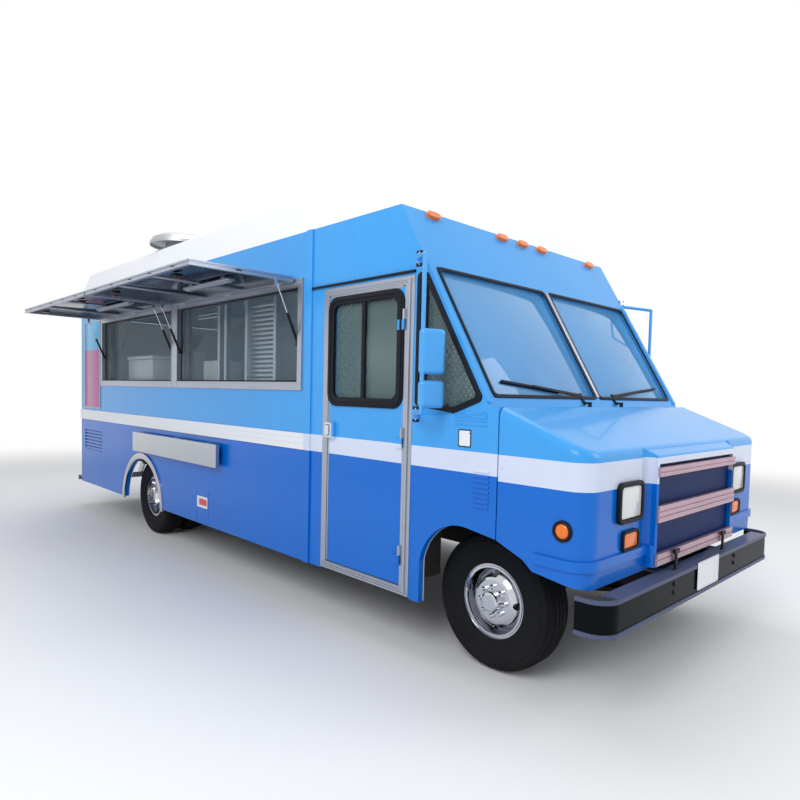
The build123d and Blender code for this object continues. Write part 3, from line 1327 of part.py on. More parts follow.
# Steering wheel
wheel_rim_radius = 215
with BuildPart() as steering_wheel:
    steer_plane = Plane(origin=steer_centre, z_dir=column_dir)
    with BuildSketch(Plane(origin=steer_centre + steer_plane.x_dir * wheel_rim_radius, x_dir=steer_plane.x_dir,
                           z_dir=steer_plane.y_dir)):
        Circle(13)
    revolve(axis=Axis(steer_centre, column_dir))
    with BuildSketch(Plane(origin=steer_centre - column_dir * (30 - gap), x_dir=steer_plane.x_dir, z_dir=column_dir)):
        Circle(50)
    extrude(amount=44)
    with BuildSketch(Plane(origin=steer_centre - column_dir * 8, x_dir=steer_plane.x_dir, z_dir=column_dir)):
        Rectangle(2 * wheel_rim_radius, 34)
    extrude(amount=12)
keep(steering_wheel, "steering_wheel")

# Kitchen: counter under the serving window, cooking line and freezer on the left
counter_top_z = 1545


def house_relief():
    for side in (1, -1):
        with Locations((-wheel_base, side * (inner_half + rear_house_inner_y) / 2, (floor_z + rear_house_top_z) / 2)):
            Box(2 * house_half_length + 2 * gap, inner_half - rear_house_inner_y + 2 * gap,
                rear_house_top_z - floor_z + 2 * gap, mode=Mode.SUBTRACT)


counter_rear_x = -5600
counter_front_x = -1900
counter_inner_y = inner_half - 587
counter_lip = 40
upright_half = 20
upright_y = inner_half - 27
upright_high_z = serve_high_z + 40
uprights = (-2917, -2798, -2451, -2023)
with BuildPart() as kitchen_counter:
    with Locations(((counter_rear_x + counter_front_x) / 2, -(inner_half + counter_inner_y) / 2,
                    (floor_z + counter_top_z - counter_lip) / 2)):
        Box(counter_front_x - counter_rear_x, inner_half - counter_inner_y, counter_top_z - counter_lip - floor_z)
    with Locations(((counter_rear_x + counter_front_x) / 2, -(inner_half + counter_inner_y - counter_lip) / 2,
                    counter_top_z - counter_lip / 2)):
        Box(counter_front_x - counter_rear_x + 2 * counter_lip, inner_half - counter_inner_y + counter_lip, counter_lip)
    for upright_x in uprights:
        with Locations((upright_x, -upright_y, (counter_top_z + upright_high_z) / 2)):
            Box(2 * upright_half, 2 * upright_half, upright_high_z - counter_top_z)
    house_relief()
keep(kitchen_counter, "kitchen_counter")

range_rear_x = -5500
range_front_x = -2900
range_depth = 667
range_top_z = 1660
hood_depth = 747
hood_low_z = 2220
hood_high_z = 2620
fridge_rear_x = -2730
fridge_front_x = -1970
fridge_depth = 707
fridge_top_z = 2400
fridge_door = 24
fridge_door_gap = 12
with BuildPart() as cooking_line:
    with Locations(((range_rear_x + range_front_x) / 2, inner_half - range_depth / 2, (floor_z + range_top_z) / 2)):
        Box(range_front_x - range_rear_x, range_depth, range_top_z - floor_z)
    with BuildSketch(Plane.YZ.offset(range_rear_x)):
        with BuildLine():
            Polyline((inner_half, hood_low_z), (inner_half - hood_depth, hood_low_z),
                     (inner_half - hood_depth, hood_low_z + 120), (inner_half - hood_depth / 2, hood_high_z),
                     (inner_half, hood_high_z), close=True)
        make_face()
    extrude(amount=range_front_x - range_rear_x)
    with Locations(((fridge_rear_x + fridge_front_x) / 2, inner_half - fridge_depth / 2, (floor_z + fridge_top_z) / 2)):
        Box(fridge_front_x - fridge_rear_x, fridge_depth, fridge_top_z - floor_z)
    for low_z, high_z in ((floor_z + 80, 1500), (1500 + fridge_door_gap, fridge_top_z - 20)):
        with Locations(((fridge_rear_x + fridge_front_x) / 2, inner_half - fridge_depth - fridge_door / 2,
                        (low_z + high_z) / 2)):
            Box(fridge_front_x - fridge_rear_x - 2 * fridge_door_gap, fridge_door, high_z - low_z)
    house_relief()
keep(cooking_line, "cooking_line")

# Move the finished pieces so that the origin lies under the middle of the whole vehicle, and write them
origin_x = (step_rear_end_x + bumper_face_x) / 2
origin_y = (mirror_reach - (awning_hinge_y + awning_edge + awning_depth)) / 2
os.makedirs("parts", exist_ok=True)
for node_part in nodes:
    node_part.position = node_part.position - Vector(origin_x, origin_y, 0)
    export_step(node_part, f"parts/{node_part.label}.step")
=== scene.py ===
import math

import bpy
from mathutils import Matrix, Vector


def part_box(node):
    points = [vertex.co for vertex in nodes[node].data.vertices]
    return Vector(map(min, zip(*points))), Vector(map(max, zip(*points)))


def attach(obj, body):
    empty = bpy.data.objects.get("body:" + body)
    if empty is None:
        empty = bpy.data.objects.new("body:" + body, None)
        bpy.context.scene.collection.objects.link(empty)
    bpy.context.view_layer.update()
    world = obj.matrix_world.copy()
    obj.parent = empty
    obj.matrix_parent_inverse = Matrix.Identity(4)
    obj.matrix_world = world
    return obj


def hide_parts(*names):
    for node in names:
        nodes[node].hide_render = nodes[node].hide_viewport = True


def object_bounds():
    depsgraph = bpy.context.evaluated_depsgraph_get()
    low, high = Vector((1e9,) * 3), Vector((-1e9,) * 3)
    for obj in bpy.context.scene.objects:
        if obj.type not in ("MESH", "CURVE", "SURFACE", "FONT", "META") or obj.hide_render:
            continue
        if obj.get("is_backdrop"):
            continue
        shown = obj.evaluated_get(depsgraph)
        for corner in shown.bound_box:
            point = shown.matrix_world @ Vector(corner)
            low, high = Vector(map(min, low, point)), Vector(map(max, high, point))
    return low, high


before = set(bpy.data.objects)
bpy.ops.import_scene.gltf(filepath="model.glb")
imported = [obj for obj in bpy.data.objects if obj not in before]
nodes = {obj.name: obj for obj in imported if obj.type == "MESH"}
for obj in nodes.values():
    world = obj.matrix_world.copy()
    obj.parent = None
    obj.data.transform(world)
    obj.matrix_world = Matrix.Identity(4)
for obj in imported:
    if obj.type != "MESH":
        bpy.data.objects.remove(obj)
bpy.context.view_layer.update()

# Viewpoint: a camera at a standing person's height in front of the right-hand corner, as a
# buyer would stand to take in the serving side and the nose together. It is set from the
# floor point under the middle of the front axle.
axle_low, axle_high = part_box("front_axle")
axle_x = (axle_low.x + axle_high.x) / 2
axle_y = (axle_low.y + axle_high.y) / 2
eye = Vector((axle_x + 2.117, axle_y - 3.698, 1.557))
look_yaw = math.radians(135.414)
look_pitch = math.radians(-2.823)
look_roll = math.radians(1.396)
ahead = Vector((math.cos(look_yaw) * math.cos(look_pitch), math.sin(look_yaw) * math.cos(look_pitch),
                math.sin(look_pitch)))
level_right = ahead.cross(Vector((0, 0, 1))).normalized()
level_up = level_right.cross(ahead)
view_right = math.cos(look_roll) * level_right + math.sin(look_roll) * level_up
view_up = math.cos(look_roll) * level_up - math.sin(look_roll) * level_right
bpy.ops.object.select_all(action="DESELECT")
bpy.ops.object.camera_add(location=eye)
camera = bpy.context.object
camera.name = "buyer_view"
turn = Matrix((view_right, view_up, -ahead)).transposed()
camera.rotation_euler = turn.to_euler()
camera.data.sensor_width = 36
camera.data.lens = 27.80
camera.data.shift_x = -0.0152
camera.data.shift_y = 0.0299
camera.data.clip_end = 200
bpy.context.scene.camera = camera

# Studio: a white surround, a pale floor that fades into it, and three soft boxes, the
# strongest up in front of the serving side.
def feed(tree, fed_node, feeds):
    """Fills a node's inputs, each from another node's output or with a plain value."""
    for socket, source in feeds.items():
        if isinstance(source, bpy.types.NodeSocket):
            tree.links.new(source, fed_node.inputs[socket])
        else:
            fed_node.inputs[socket].default_value = source


def node(tree, kind, feeds=None, **settings):
    made = tree.nodes.new(kind)
    for key, value in settings.items():
        setattr(made, key, value)
    feed(tree, made, feeds or {})
    return made


bpy.context.scene.view_settings.view_transform = "Standard"
world = bpy.data.worlds.new("studio")
bpy.context.scene.world = world
world.use_nodes = True
sky = world.node_tree
fill_light = 0.5
sky_rays = node(sky, "ShaderNodeLightPath").outputs
seen = node(sky, "ShaderNodeMath", {0: sky_rays["Is Camera Ray"], 1: sky_rays["Is Transmission Ray"]},
            operation="MAXIMUM")
seen_again = node(sky, "ShaderNodeMath", {0: seen.outputs[0], 1: sky_rays["Is Glossy Ray"]}, operation="MAXIMUM")
strength = node(sky, "ShaderNodeMapRange", {"Value": seen_again.outputs[0], "To Min": fill_light, "To Max": 1})
feed(sky, sky.nodes["Background"], {"Color": (1, 1, 1, 1), "Strength": strength.outputs["Result"]})

soft_boxes = (
    # name, place in metres from the middle of the vehicle, size, power
    ("serving_side", (4.5, -7.5, 6.5), 5.0, 400),
    ("nose_side", (8.0, 3.5, 5.0), 4.0, 150),
    ("overhead", (-1.0, 0.5, 8.0), 6.0, 300),
)
for box_name, place, size, power in soft_boxes:
    bpy.ops.object.light_add(type="AREA", location=place)
    lamp = bpy.context.object
    lamp.name = box_name
    lamp.data.size = size
    lamp.data.energy = power
    lamp.rotation_euler = (Vector((0, 0, 1.2)) - Vector(place)).to_track_quat("-Z", "Y").to_euler()

floor_radius = 40
fade_near = 7
fade_far = 13
bpy.ops.object.select_all(action="DESELECT")
bpy.ops.mesh.primitive_circle_add(vertices=96, radius=floor_radius, fill_type="NGON", location=(0, 0, -0.001))
ground = bpy.context.object
ground.name = "studio_floor"
pale_floor = bpy.data.materials.new("pale_floor")
pale_floor.use_nodes = True
pour = pale_floor.node_tree
floor_skin = pour.nodes["Principled BSDF"]
feed(pour, floor_skin, {"Base Color": (0.86, 0.87, 0.89, 1), "Roughness": 0.8})
spread = node(pour, "ShaderNodeTexCoord").outputs["Object"]
reach = node(pour, "ShaderNodeVectorMath", {0: spread}, operation="LENGTH")
fade = node(pour, "ShaderNodeMapRange", {"Value": reach.outputs["Value"], "From Min": fade_near,
                                         "From Max": fade_far}, interpolation_type="SMOOTHSTEP")
glow = node(pour, "ShaderNodeEmission")
blend_out = node(pour, "ShaderNodeMixShader", {0: fade.outputs["Result"], 1: floor_skin.outputs[0],
                                               2: glow.outputs[0]})
feed(pour, pour.nodes["Material Output"], {"Surface": blend_out.outputs[0]})
ground.data.materials.append(pale_floor)
ground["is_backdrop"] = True


# Coachwork: aluminium panels sprayed royal blue below a white stripe and sky blue above it,
# under clear lacquer. The gun leaves a fine peel, the large sheets are never quite flat, and
# road dust settles low down.
def chip(red, green, blue):
    """A paint chip's sRGB values, 0 to 255, as linear light."""
    return tuple(((c / 255 + 0.055) / 1.055) ** 2.4 if c > 10 else c / 255 / 12.92 for c in (red, green, blue))


def start_group(name, inputs, outputs):
    group = bpy.data.node_groups.new(name, "ShaderNodeTree")
    for socket, kind, value in inputs:
        entry = group.interface.new_socket(socket, in_out="INPUT", socket_type=kind)
        entry.default_value = value
    for socket, kind in outputs:
        group.interface.new_socket(socket, in_out="OUTPUT", socket_type=kind)
    return group, group.nodes.new("NodeGroupInput"), group.nodes.new("NodeGroupOutput")


surface_grain, grain_in, grain_out = start_group(
    "surface_grain",
    [("Grain Size", "NodeSocketFloat", 400.0), ("Grain Depth", "NodeSocketFloat", 0.3),
     ("Ripple Size", "NodeSocketFloat", 1.5), ("Ripple Depth", "NodeSocketFloat", 0.0),
     ("Stretch", "NodeSocketVector", (1.0, 1.0, 1.0)), ("Roughness", "NodeSocketFloat", 0.3),
     ("Roughness Spread", "NodeSocketFloat", 0.08)],
    [("Height", "NodeSocketFloat"), ("Roughness", "NodeSocketFloat")])
grain_place = node(surface_grain, "ShaderNodeTexCoord").outputs["Object"]
grain_pull = node(surface_grain, "ShaderNodeVectorMath", {0: grain_place, 1: grain_in.outputs["Stretch"]},
                  operation="MULTIPLY")
fine = node(surface_grain, "ShaderNodeTexNoise", {"Vector": grain_pull.outputs[0], "Detail": 3,
                                                  "Scale": grain_in.outputs["Grain Size"]})
broad = node(surface_grain, "ShaderNodeTexNoise", {"Vector": grain_place, "Scale": grain_in.outputs["Ripple Size"]})
fine_rise = node(surface_grain, "ShaderNodeMath", {0: fine.outputs["Fac"], 1: grain_in.outputs["Grain Depth"]},
                 operation="MULTIPLY")
broad_rise = node(surface_grain, "ShaderNodeMath", {0: broad.outputs["Fac"], 1: grain_in.outputs["Ripple Depth"],
                                                    2: fine_rise.outputs[0]}, operation="MULTIPLY_ADD")
rough_shift = node(surface_grain, "ShaderNodeMath", {0: broad.outputs["Fac"], 1: 0.5}, operation="SUBTRACT")
rough_mix = node(surface_grain, "ShaderNodeMath", {0: rough_shift.outputs[0], 1: grain_in.outputs["Roughness Spread"],
                                                   2: grain_in.outputs["Roughness"]}, operation="MULTIPLY_ADD")
feed(surface_grain, grain_out, {"Height": broad_rise.outputs[0], "Roughness": rough_mix.outputs[0]})

road_dust, dust_in, dust_out = start_group(
    "road_dust",
    [("Colour", "NodeSocketColor", (0.5, 0.5, 0.5, 1)), ("Dust Colour", "NodeSocketColor", (*chip(150, 142, 128), 1)),
     ("Dust Top", "NodeSocketFloat", 0.9), ("Dust Amount", "NodeSocketFloat", 0.1),
     ("Tone Spread", "NodeSocketFloat", 0.04)],
    [("Colour", "NodeSocketColor")])
dust_place = node(road_dust, "ShaderNodeTexCoord").outputs["Object"]
dust_axes = node(road_dust, "ShaderNodeSeparateXYZ", {0: dust_place})
cloud = node(road_dust, "ShaderNodeTexNoise", {"Vector": dust_place, "Scale": 5, "Detail": 6, "Roughness": 0.65})
settle_low = node(road_dust, "ShaderNodeMapRange", {"Value": dust_axes.outputs["Z"], "From Min": 0,
                                                    "From Max": dust_in.outputs["Dust Top"], "To Min": 1,
                                                    "To Max": 0}, interpolation_type="SMOOTHSTEP")
dust_patch = node(road_dust, "ShaderNodeMath", {0: settle_low.outputs["Result"], 1: cloud.outputs["Fac"]},
                  operation="MULTIPLY")
dust_share = node(road_dust, "ShaderNodeMath", {0: dust_patch.outputs[0], 1: dust_in.outputs["Dust Amount"]},
                  operation="MULTIPLY")
tone_centre = node(road_dust, "ShaderNodeMath", {0: cloud.outputs["Fac"], 1: 0.5}, operation="SUBTRACT")
tone = node(road_dust, "ShaderNodeMath", {0: tone_centre.outputs[0], 1: dust_in.outputs["Tone Spread"], 2: 1},
            operation="MULTIPLY_ADD")
toned = node(road_dust, "ShaderNodeVectorMath", {0: dust_in.outputs["Colour"], "Scale": tone.outputs[0]},
             operation="SCALE")
dusted = node(road_dust, "ShaderNodeMix", {"Factor": dust_share.outputs[0], "A": toned.outputs[0],
                                           "B": dust_in.outputs["Dust Colour"]}, data_type="RGBA")
feed(road_dust, dust_out, {"Colour": dusted.outputs["Result"]})


def mixed(name, colour, roughness, metallic=0.0, coat=0.0, grain=400.0, depth=0.3, ripple=1.5, ripple_depth=0.0,
          stretch=(1, 1, 1), rough_spread=0.08, dust=0.1, dust_top=0.9, tone_spread=0.05, bump=0.0004,
          shine=0.5):
    """One finish: a base colour with the shop's grain in its surface and the road's dust on it."""
    finish = bpy.data.materials.new(name)
    finish.use_nodes = True
    tree = finish.node_tree
    skin = tree.nodes["Principled BSDF"]
    grain_node = node(tree, "ShaderNodeGroup", {"Grain Size": grain, "Grain Depth": depth, "Ripple Size": ripple,
                                                "Ripple Depth": ripple_depth, "Stretch": stretch,
                                                "Roughness": roughness, "Roughness Spread": rough_spread},
                      node_tree=surface_grain, name="grain")
    press = node(tree, "ShaderNodeBump", {"Distance": bump, "Height": grain_node.outputs["Height"]})
    dust_node = node(tree, "ShaderNodeGroup", {"Colour": (*colour, 1), "Dust Top": dust_top, "Dust Amount": dust,
                                               "Tone Spread": tone_spread}, node_tree=road_dust, name="dust")
    feed(tree, skin, {"Metallic": metallic, "Coat Weight": coat, "Coat Roughness": 0.04,
                      "Specular IOR Level": shine, "Roughness": grain_node.outputs["Roughness"],
                      "Normal": press.outputs["Normal"], "Base Color": dust_node.outputs["Colour"]})
    return finish


sky_blue = chip(62, 158, 232)
royal_blue = chip(0, 104, 203)
stripe_white = chip(206, 216, 238)
lining_grey = chip(218, 230, 236)
stripe_low = 1.14
stripe_high = 1.256
nose_stripe_low = 1.119
nose_stripe_high = 1.255
lining_half = 1.1335
rear_lining_x = -6.45
screen_lean = 0.594
screen_plane = 0.9777

livery, livery_in, livery_out = start_group(
    "livery",
    [("Stripe Low", "NodeSocketFloat", stripe_low), ("Stripe High", "NodeSocketFloat", stripe_high),
     ("Below", "NodeSocketColor", (*royal_blue, 1)), ("Stripe", "NodeSocketColor", (*stripe_white, 1)),
     ("Above", "NodeSocketColor", (*sky_blue, 1)), ("Lining", "NodeSocketColor", (*lining_grey, 1)),
     ("Centre Y", "NodeSocketFloat", 0.3), ("Lining Half", "NodeSocketFloat", 0.0),
     ("Lining Axis", "NodeSocketVector", (1.0, 0.0, 0.0)), ("Lining From", "NodeSocketFloat", -20.0)],
    [("Colour", "NodeSocketColor")])
livery_place = node(livery, "ShaderNodeTexCoord").outputs["Object"]
livery_axes = node(livery, "ShaderNodeSeparateXYZ", {0: livery_place})
over_low, over_high = [node(livery, "ShaderNodeMath", {0: livery_axes.outputs["Z"], 1: livery_in.outputs[edge]},
                            operation="GREATER_THAN") for edge in ("Stripe Low", "Stripe High")]
first_coat = node(livery, "ShaderNodeMix", {"Factor": over_low.outputs[0], "A": livery_in.outputs["Below"],
                                            "B": livery_in.outputs["Stripe"]}, data_type="RGBA")
second_coat = node(livery, "ShaderNodeMix", {"Factor": over_high.outputs[0], "A": first_coat.outputs["Result"],
                                             "B": livery_in.outputs["Above"]}, data_type="RGBA")
from_middle = node(livery, "ShaderNodeMath", {0: livery_axes.outputs["Y"], 1: livery_in.outputs["Centre Y"]},
                   operation="SUBTRACT")
off_middle = node(livery, "ShaderNodeMath", {0: from_middle.outputs[0]}, operation="ABSOLUTE")
within_half = node(livery, "ShaderNodeMath", {0: off_middle.outputs[0], 1: livery_in.outputs["Lining Half"]},
                   operation="LESS_THAN")
behind_face = node(livery, "ShaderNodeVectorMath", {0: livery_place, 1: livery_in.outputs["Lining Axis"]},
                   operation="DOT_PRODUCT")
within_face = node(livery, "ShaderNodeMath", {0: behind_face.outputs["Value"], 1: livery_in.outputs["Lining From"]},
                   operation="GREATER_THAN")
indoors = node(livery, "ShaderNodeMath", {0: within_half.outputs[0], 1: within_face.outputs[0]},
               operation="MULTIPLY")
lined = node(livery, "ShaderNodeMix", {"Factor": indoors.outputs[0], "A": second_coat.outputs["Result"],
                                       "B": livery_in.outputs["Lining"]}, data_type="RGBA")
feed(livery, livery_out, {"Colour": lined.outputs["Result"]})


def sprayed(name, low, high, ripple_depth, lined_half=0.0, lining_axis=(1, 0, 0), lining_from=-20.0):
    """The three-colour coach finish, masked off at the heights of the stripe, pale on the inner faces."""
    finish = mixed(name, sky_blue, 0.22, coat=0.25, grain=260, depth=0.16, ripple=2.2, ripple_depth=ripple_depth,
                   dust=0.12, dust_top=0.3, tone_spread=0.1, bump=0.0012, shine=0.2)
    tree = finish.node_tree
    masked = node(tree, "ShaderNodeGroup", {"Stripe Low": low, "Stripe High": high, "Centre Y": axle_y,
                                            "Lining Half": lined_half, "Lining Axis": lining_axis,
                                            "Lining From": lining_from}, node_tree=livery)
    feed(tree, tree.nodes["dust"], {"Colour": masked.outputs["Colour"]})
    return finish


box_paint = sprayed("box_paint", stripe_low, stripe_high, 5.0, lining_half, lining_from=axle_x + rear_lining_x)
cab_side_paint = sprayed("cab_side_paint", stripe_low, stripe_high, 1.2, lining_half, (-1, 0, -screen_lean),
                         -(axle_x + screen_plane))
cab_front_paint = sprayed("cab_front_paint", stripe_low, stripe_high, 1.0)
nose_paint = sprayed("nose_paint", nose_stripe_low, nose_stripe_high, 0.8)


def wear(piece, *finishes):
    """Gives a piece or a carried-over node its finish."""
    piece.data.materials.clear()
    for finish in finishes:
        piece.data.materials.append(finish)


for name in ("right_wall_lower", "right_wall_upper", "left_wall", "rear_wall", "rear_door_right", "rear_door_left"):
    wear(nodes[name], box_paint)
for name in ("cab_side_right", "cab_side_left", "cab_door_right", "cab_door_left", "louvre_vents"):
    wear(nodes[name], cab_side_paint)
wear(nodes["cab_front"], cab_front_paint)
wear(nodes["hood_shell"], nose_paint)

# Roof and rub rails: white enamel, chalkier than the lacquered sides, on sheet that is never
# quite flat. Dust lies on it up to the roof's own height.
white_enamel = mixed("white_enamel", chip(232, 236, 243), 0.42, coat=0.1, grain=300, depth=0.2, ripple=1.2,
                     ripple_depth=2.0, dust=0.12, dust_top=3.2, tone_spread=0.05, bump=0.001)
wear(nodes["roof_cap"], white_enamel)
wear(nodes["rub_rails"], white_enamel)


def at(x, y, z):
    """A place measured from under the middle of the front axle: x forward, y to the left, z up."""
    return Vector((axle_x + x, axle_y + y, z))


def facing(out, up, origin=(0, 0, 0)):
    """Stands a part that was drawn flat, seen from the front, so that its front looks outward."""
    out = Vector(out).normalized()
    across = Vector(up).cross(out).normalized()
    return Matrix.Translation(at(*origin)) @ Matrix((across, out.cross(across), out)).transposed().to_4x4()


def take_up(*pieces):
    """Leaves nothing selected from the piece before, and only these from now on."""
    bpy.ops.object.select_all(action="DESELECT")
    for piece in pieces:
        piece.select_set(True)
    if pieces:
        bpy.context.view_layer.objects.active = pieces[0]


def smoothed(piece, angle=35):
    take_up(piece)
    bpy.ops.object.shade_smooth_by_angle(angle=math.radians(angle))
    return piece


def block(name, low, high):
    """A blank between two corners, before it is shaped."""
    low, high = at(*low), at(*high)
    take_up()
    bpy.ops.mesh.primitive_cube_add(size=1, location=(low + high) / 2, scale=high - low)
    piece = bpy.context.object
    piece.name = name
    bpy.ops.object.transform_apply(location=True, rotation=True, scale=True)
    return piece


def slab(name, low, high, soft):
    """A sheet or block between two corners, its edges broken by hand."""
    piece = block(name, low, high)
    edge = piece.modifiers.new("softened", "BEVEL")
    edge.width = soft
    edge.segments = 2
    bpy.ops.object.modifier_apply(modifier=edge.name)
    return smoothed(piece)


def joined(name, parts):
    """Welds parts of one finish together."""
    take_up(*parts)
    if len(parts) > 1:
        bpy.ops.object.join()
    parts[0].name = name
    return parts[0]


def fitted(piece, body, *finishes, stands_for=()):
    """Finishes a piece and fixes it to what carries it."""
    wear(piece, *finishes)
    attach(piece, body)
    if stands_for:
        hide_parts(*stands_for)
    return piece


# Chassis, running gear and wheel houses: black paint over a coarse steel surface, with the
# road's dirt on it. The bumper and its rolled lips are one black pressing, the lips painted
# blue-grey as a reflection of the sky.
tyre_rubber = mixed("tyre_rubber", chip(14, 17, 24), 0.8, grain=320, depth=0.5, rough_spread=0.1, dust=0.05,
                    dust_top=0.9, tone_spread=0.2, bump=0.0008, shine=0.12)
gasket_rubber = mixed("gasket_rubber", chip(12, 16, 26), 0.5, grain=600, depth=0.4, rough_spread=0.1, dust=0.05,
                      tone_spread=0.12, shine=0.2)
chassis_black = mixed("chassis_black", chip(12, 14, 18), 0.65, grain=120, depth=0.7, rough_spread=0.15, dust=0.14,
                      dust_top=1.0, tone_spread=0.25, bump=0.001, shine=0.15)
engine_grey = mixed("engine_grey", chip(62, 64, 68), 0.55, metallic=0.4, grain=90, depth=0.9, dust=0.25,
                    tone_spread=0.25)
for name in ("chassis_frame", "front_axle", "rear_axle", "underbody", "knuckle_right", "knuckle_left",
             "wheel_houses"):
    wear(nodes[name], chassis_black)
wear(nodes["engine_block"], engine_grey)
wear(nodes["wipers"], gasket_rubber)

two_tone, tone_in, tone_out = start_group(
    "two_tone",
    [("First", "NodeSocketColor", (0.5, 0.5, 0.5, 1)), ("Second", "NodeSocketColor", (0.5, 0.5, 0.5, 1)),
     ("Axis", "NodeSocketVector", (1.0, 0.0, 0.0)), ("From", "NodeSocketFloat", 0.0),
     ("To", "NodeSocketFloat", 1.0)],
    [("Colour", "NodeSocketColor"), ("Mask", "NodeSocketFloat")])
tone_place = node(two_tone, "ShaderNodeTexCoord").outputs["Object"]
tone_along = node(two_tone, "ShaderNodeVectorMath", {0: tone_place, 1: tone_in.outputs["Axis"]},
                  operation="DOT_PRODUCT").outputs["Value"]
past_from = node(two_tone, "ShaderNodeMath", {0: tone_along, 1: tone_in.outputs["From"]}, operation="GREATER_THAN")
before_to = node(two_tone, "ShaderNodeMath", {0: tone_along, 1: tone_in.outputs["To"]}, operation="LESS_THAN")
tone_band = node(two_tone, "ShaderNodeMath", {0: past_from.outputs[0], 1: before_to.outputs[0]},
                 operation="MULTIPLY").outputs[0]
tone_pick = node(two_tone, "ShaderNodeMix", {"Factor": tone_band, "A": tone_in.outputs["First"],
                                             "B": tone_in.outputs["Second"]}, data_type="RGBA")
feed(two_tone, tone_out, {"Colour": tone_pick.outputs["Result"], "Mask": tone_band})


def banded(finish, first, second, axis, start, stop, metal=False):
    """A second colour, or bare metal, over the band of a finish between two planes."""
    tree = finish.node_tree
    band = node(tree, "ShaderNodeGroup", {"First": (*first, 1), "Second": (*second, 1), "Axis": axis, "From": start,
                                          "To": stop}, node_tree=two_tone)
    feed(tree, tree.nodes["dust"], {"Colour": band.outputs["Colour"]})
    if metal:
        feed(tree, tree.nodes["Principled BSDF"], {"Metallic": band.outputs["Mask"]})


bumper_black = chip(8, 11, 18)
# The blue-grey on the rolled lips above and below the black face is a painted reflection of the sky.
lip_painted_reflection = chip(84, 92, 118)
lip_low_z = 0.483
lip_high_z = 0.619
bumper_enamel = mixed("bumper_enamel", bumper_black, 0.25, grain=260, depth=0.2, rough_spread=0.2, dust=0.02,
                      tone_spread=0.1, shine=0.05)
banded(bumper_enamel, lip_painted_reflection, bumper_black, (0, 0, 1), lip_low_z, lip_high_z)
wear(nodes["front_bumper"], bumper_enamel)

# Tyres: moulded rubber on a steel cord casing. Four grooves run round the tread, the shoulders
# are cut in blocks, and the side walls carry the ribs of the mould.
tyre_radius = 0.395
tyre_section = (
    # radius, distance from the middle of the tread
    (0.208, 0.080), (0.216, 0.092), (0.228, 0.0985), (0.233, 0.1015), (0.240, 0.1015), (0.246, 0.100),
    (0.270, 0.106), (0.300, 0.109), (0.328, 0.107), (0.331, 0.1085), (0.337, 0.1085), (0.340, 0.105),
    (0.362, 0.1000), (0.378, 0.094), (0.388, 0.087), (0.3925, 0.074), (0.3935, 0.058), (0.384, 0.056),
    (0.384, 0.049), (0.3945, 0.047), (0.395, 0.021), (0.385, 0.019), (0.385, 0.012), (0.395, 0.010))


def drawn_out(name, curve, loops, closed):
    """Lays a curve's straight-sided lines and makes a mesh of it."""
    for loop in loops:
        line = curve.splines.new("POLY")
        line.points.add(len(loop) - 1)
        for point, place in zip(line.points, loop):
            point.co = (*place, 1)
        line.use_cyclic_u = closed
    piece = bpy.data.objects.new(name, curve)
    bpy.context.collection.objects.link(piece)
    take_up(piece)
    bpy.ops.object.convert(target="MESH")
    return bpy.context.object


def finished(piece, place):
    """Closes a mesh's seams, turns its faces outward, and moves it to its place."""
    bpy.ops.object.mode_set(mode="EDIT")
    bpy.ops.mesh.select_all(action="SELECT")
    bpy.ops.mesh.remove_doubles(threshold=0.00005)
    bpy.ops.mesh.normals_make_consistent(inside=False)
    bpy.ops.object.mode_set(mode="OBJECT")
    piece.data.transform(place)
    return smoothed(piece)


def turned(name, profile, place, steps=48, closed=False):
    """A round part: half its section, as (radius, distance along), spun about its axle."""
    section = bpy.data.curves.new(name, "CURVE")
    section.dimensions = "3D"
    piece = drawn_out(name, section, [[(radius, 0, along) for radius, along in profile]], closed)
    bpy.ops.object.mode_set(mode="EDIT")
    bpy.ops.mesh.select_all(action="SELECT")
    bpy.ops.mesh.spin(steps=steps, angle=2 * math.pi, center=(0, 0, 0), axis=(0, 0, 1))
    bpy.ops.object.mode_set(mode="OBJECT")
    return finished(piece, place)


def repeated(pattern, places, name):
    """Copies one modelled part to each of its places and joins the copies."""
    copies = []
    for place in places:
        twin = pattern.copy()
        twin.data = pattern.data.copy()
        twin.data.transform(place)
        bpy.context.collection.objects.link(twin)
        copies.append(twin)
    bpy.data.objects.remove(pattern)
    return joined(name, copies)


tread_steps = 96
block_radius = 0.376
block_inner = 0.060
block_outer = 0.096


def casing():
    """One tyre: its hollow section spun round, with every other face of the shoulders cut in."""
    outline = list(tyre_section) + [(radius, -along) for radius, along in reversed(tyre_section)]
    inside = [(0.216, -0.070), (0.300, -0.098), (0.372, -0.070), (0.372, 0.070), (0.300, 0.098), (0.216, 0.070)]
    tyre = turned("tyre", outline + inside, Matrix.Identity(4), steps=tread_steps, closed=True)
    bpy.ops.object.mode_set(mode="EDIT")
    bpy.ops.mesh.select_all(action="DESELECT")
    bpy.ops.object.mode_set(mode="OBJECT")
    for face in tyre.data.polygons:
        out = math.hypot(face.center.x, face.center.y)
        step = int(math.floor((math.atan2(face.center.y, face.center.x) / math.tau % 1) * tread_steps + 0.01))
        if out > block_radius and block_inner < abs(face.center.z) < block_outer and step % 2 == 0:
            face.select = True
    bpy.ops.object.mode_set(mode="EDIT")
    bpy.ops.mesh.inset(thickness=0.002, depth=-0.006)
    bpy.ops.object.mode_set(mode="OBJECT")
    return tyre


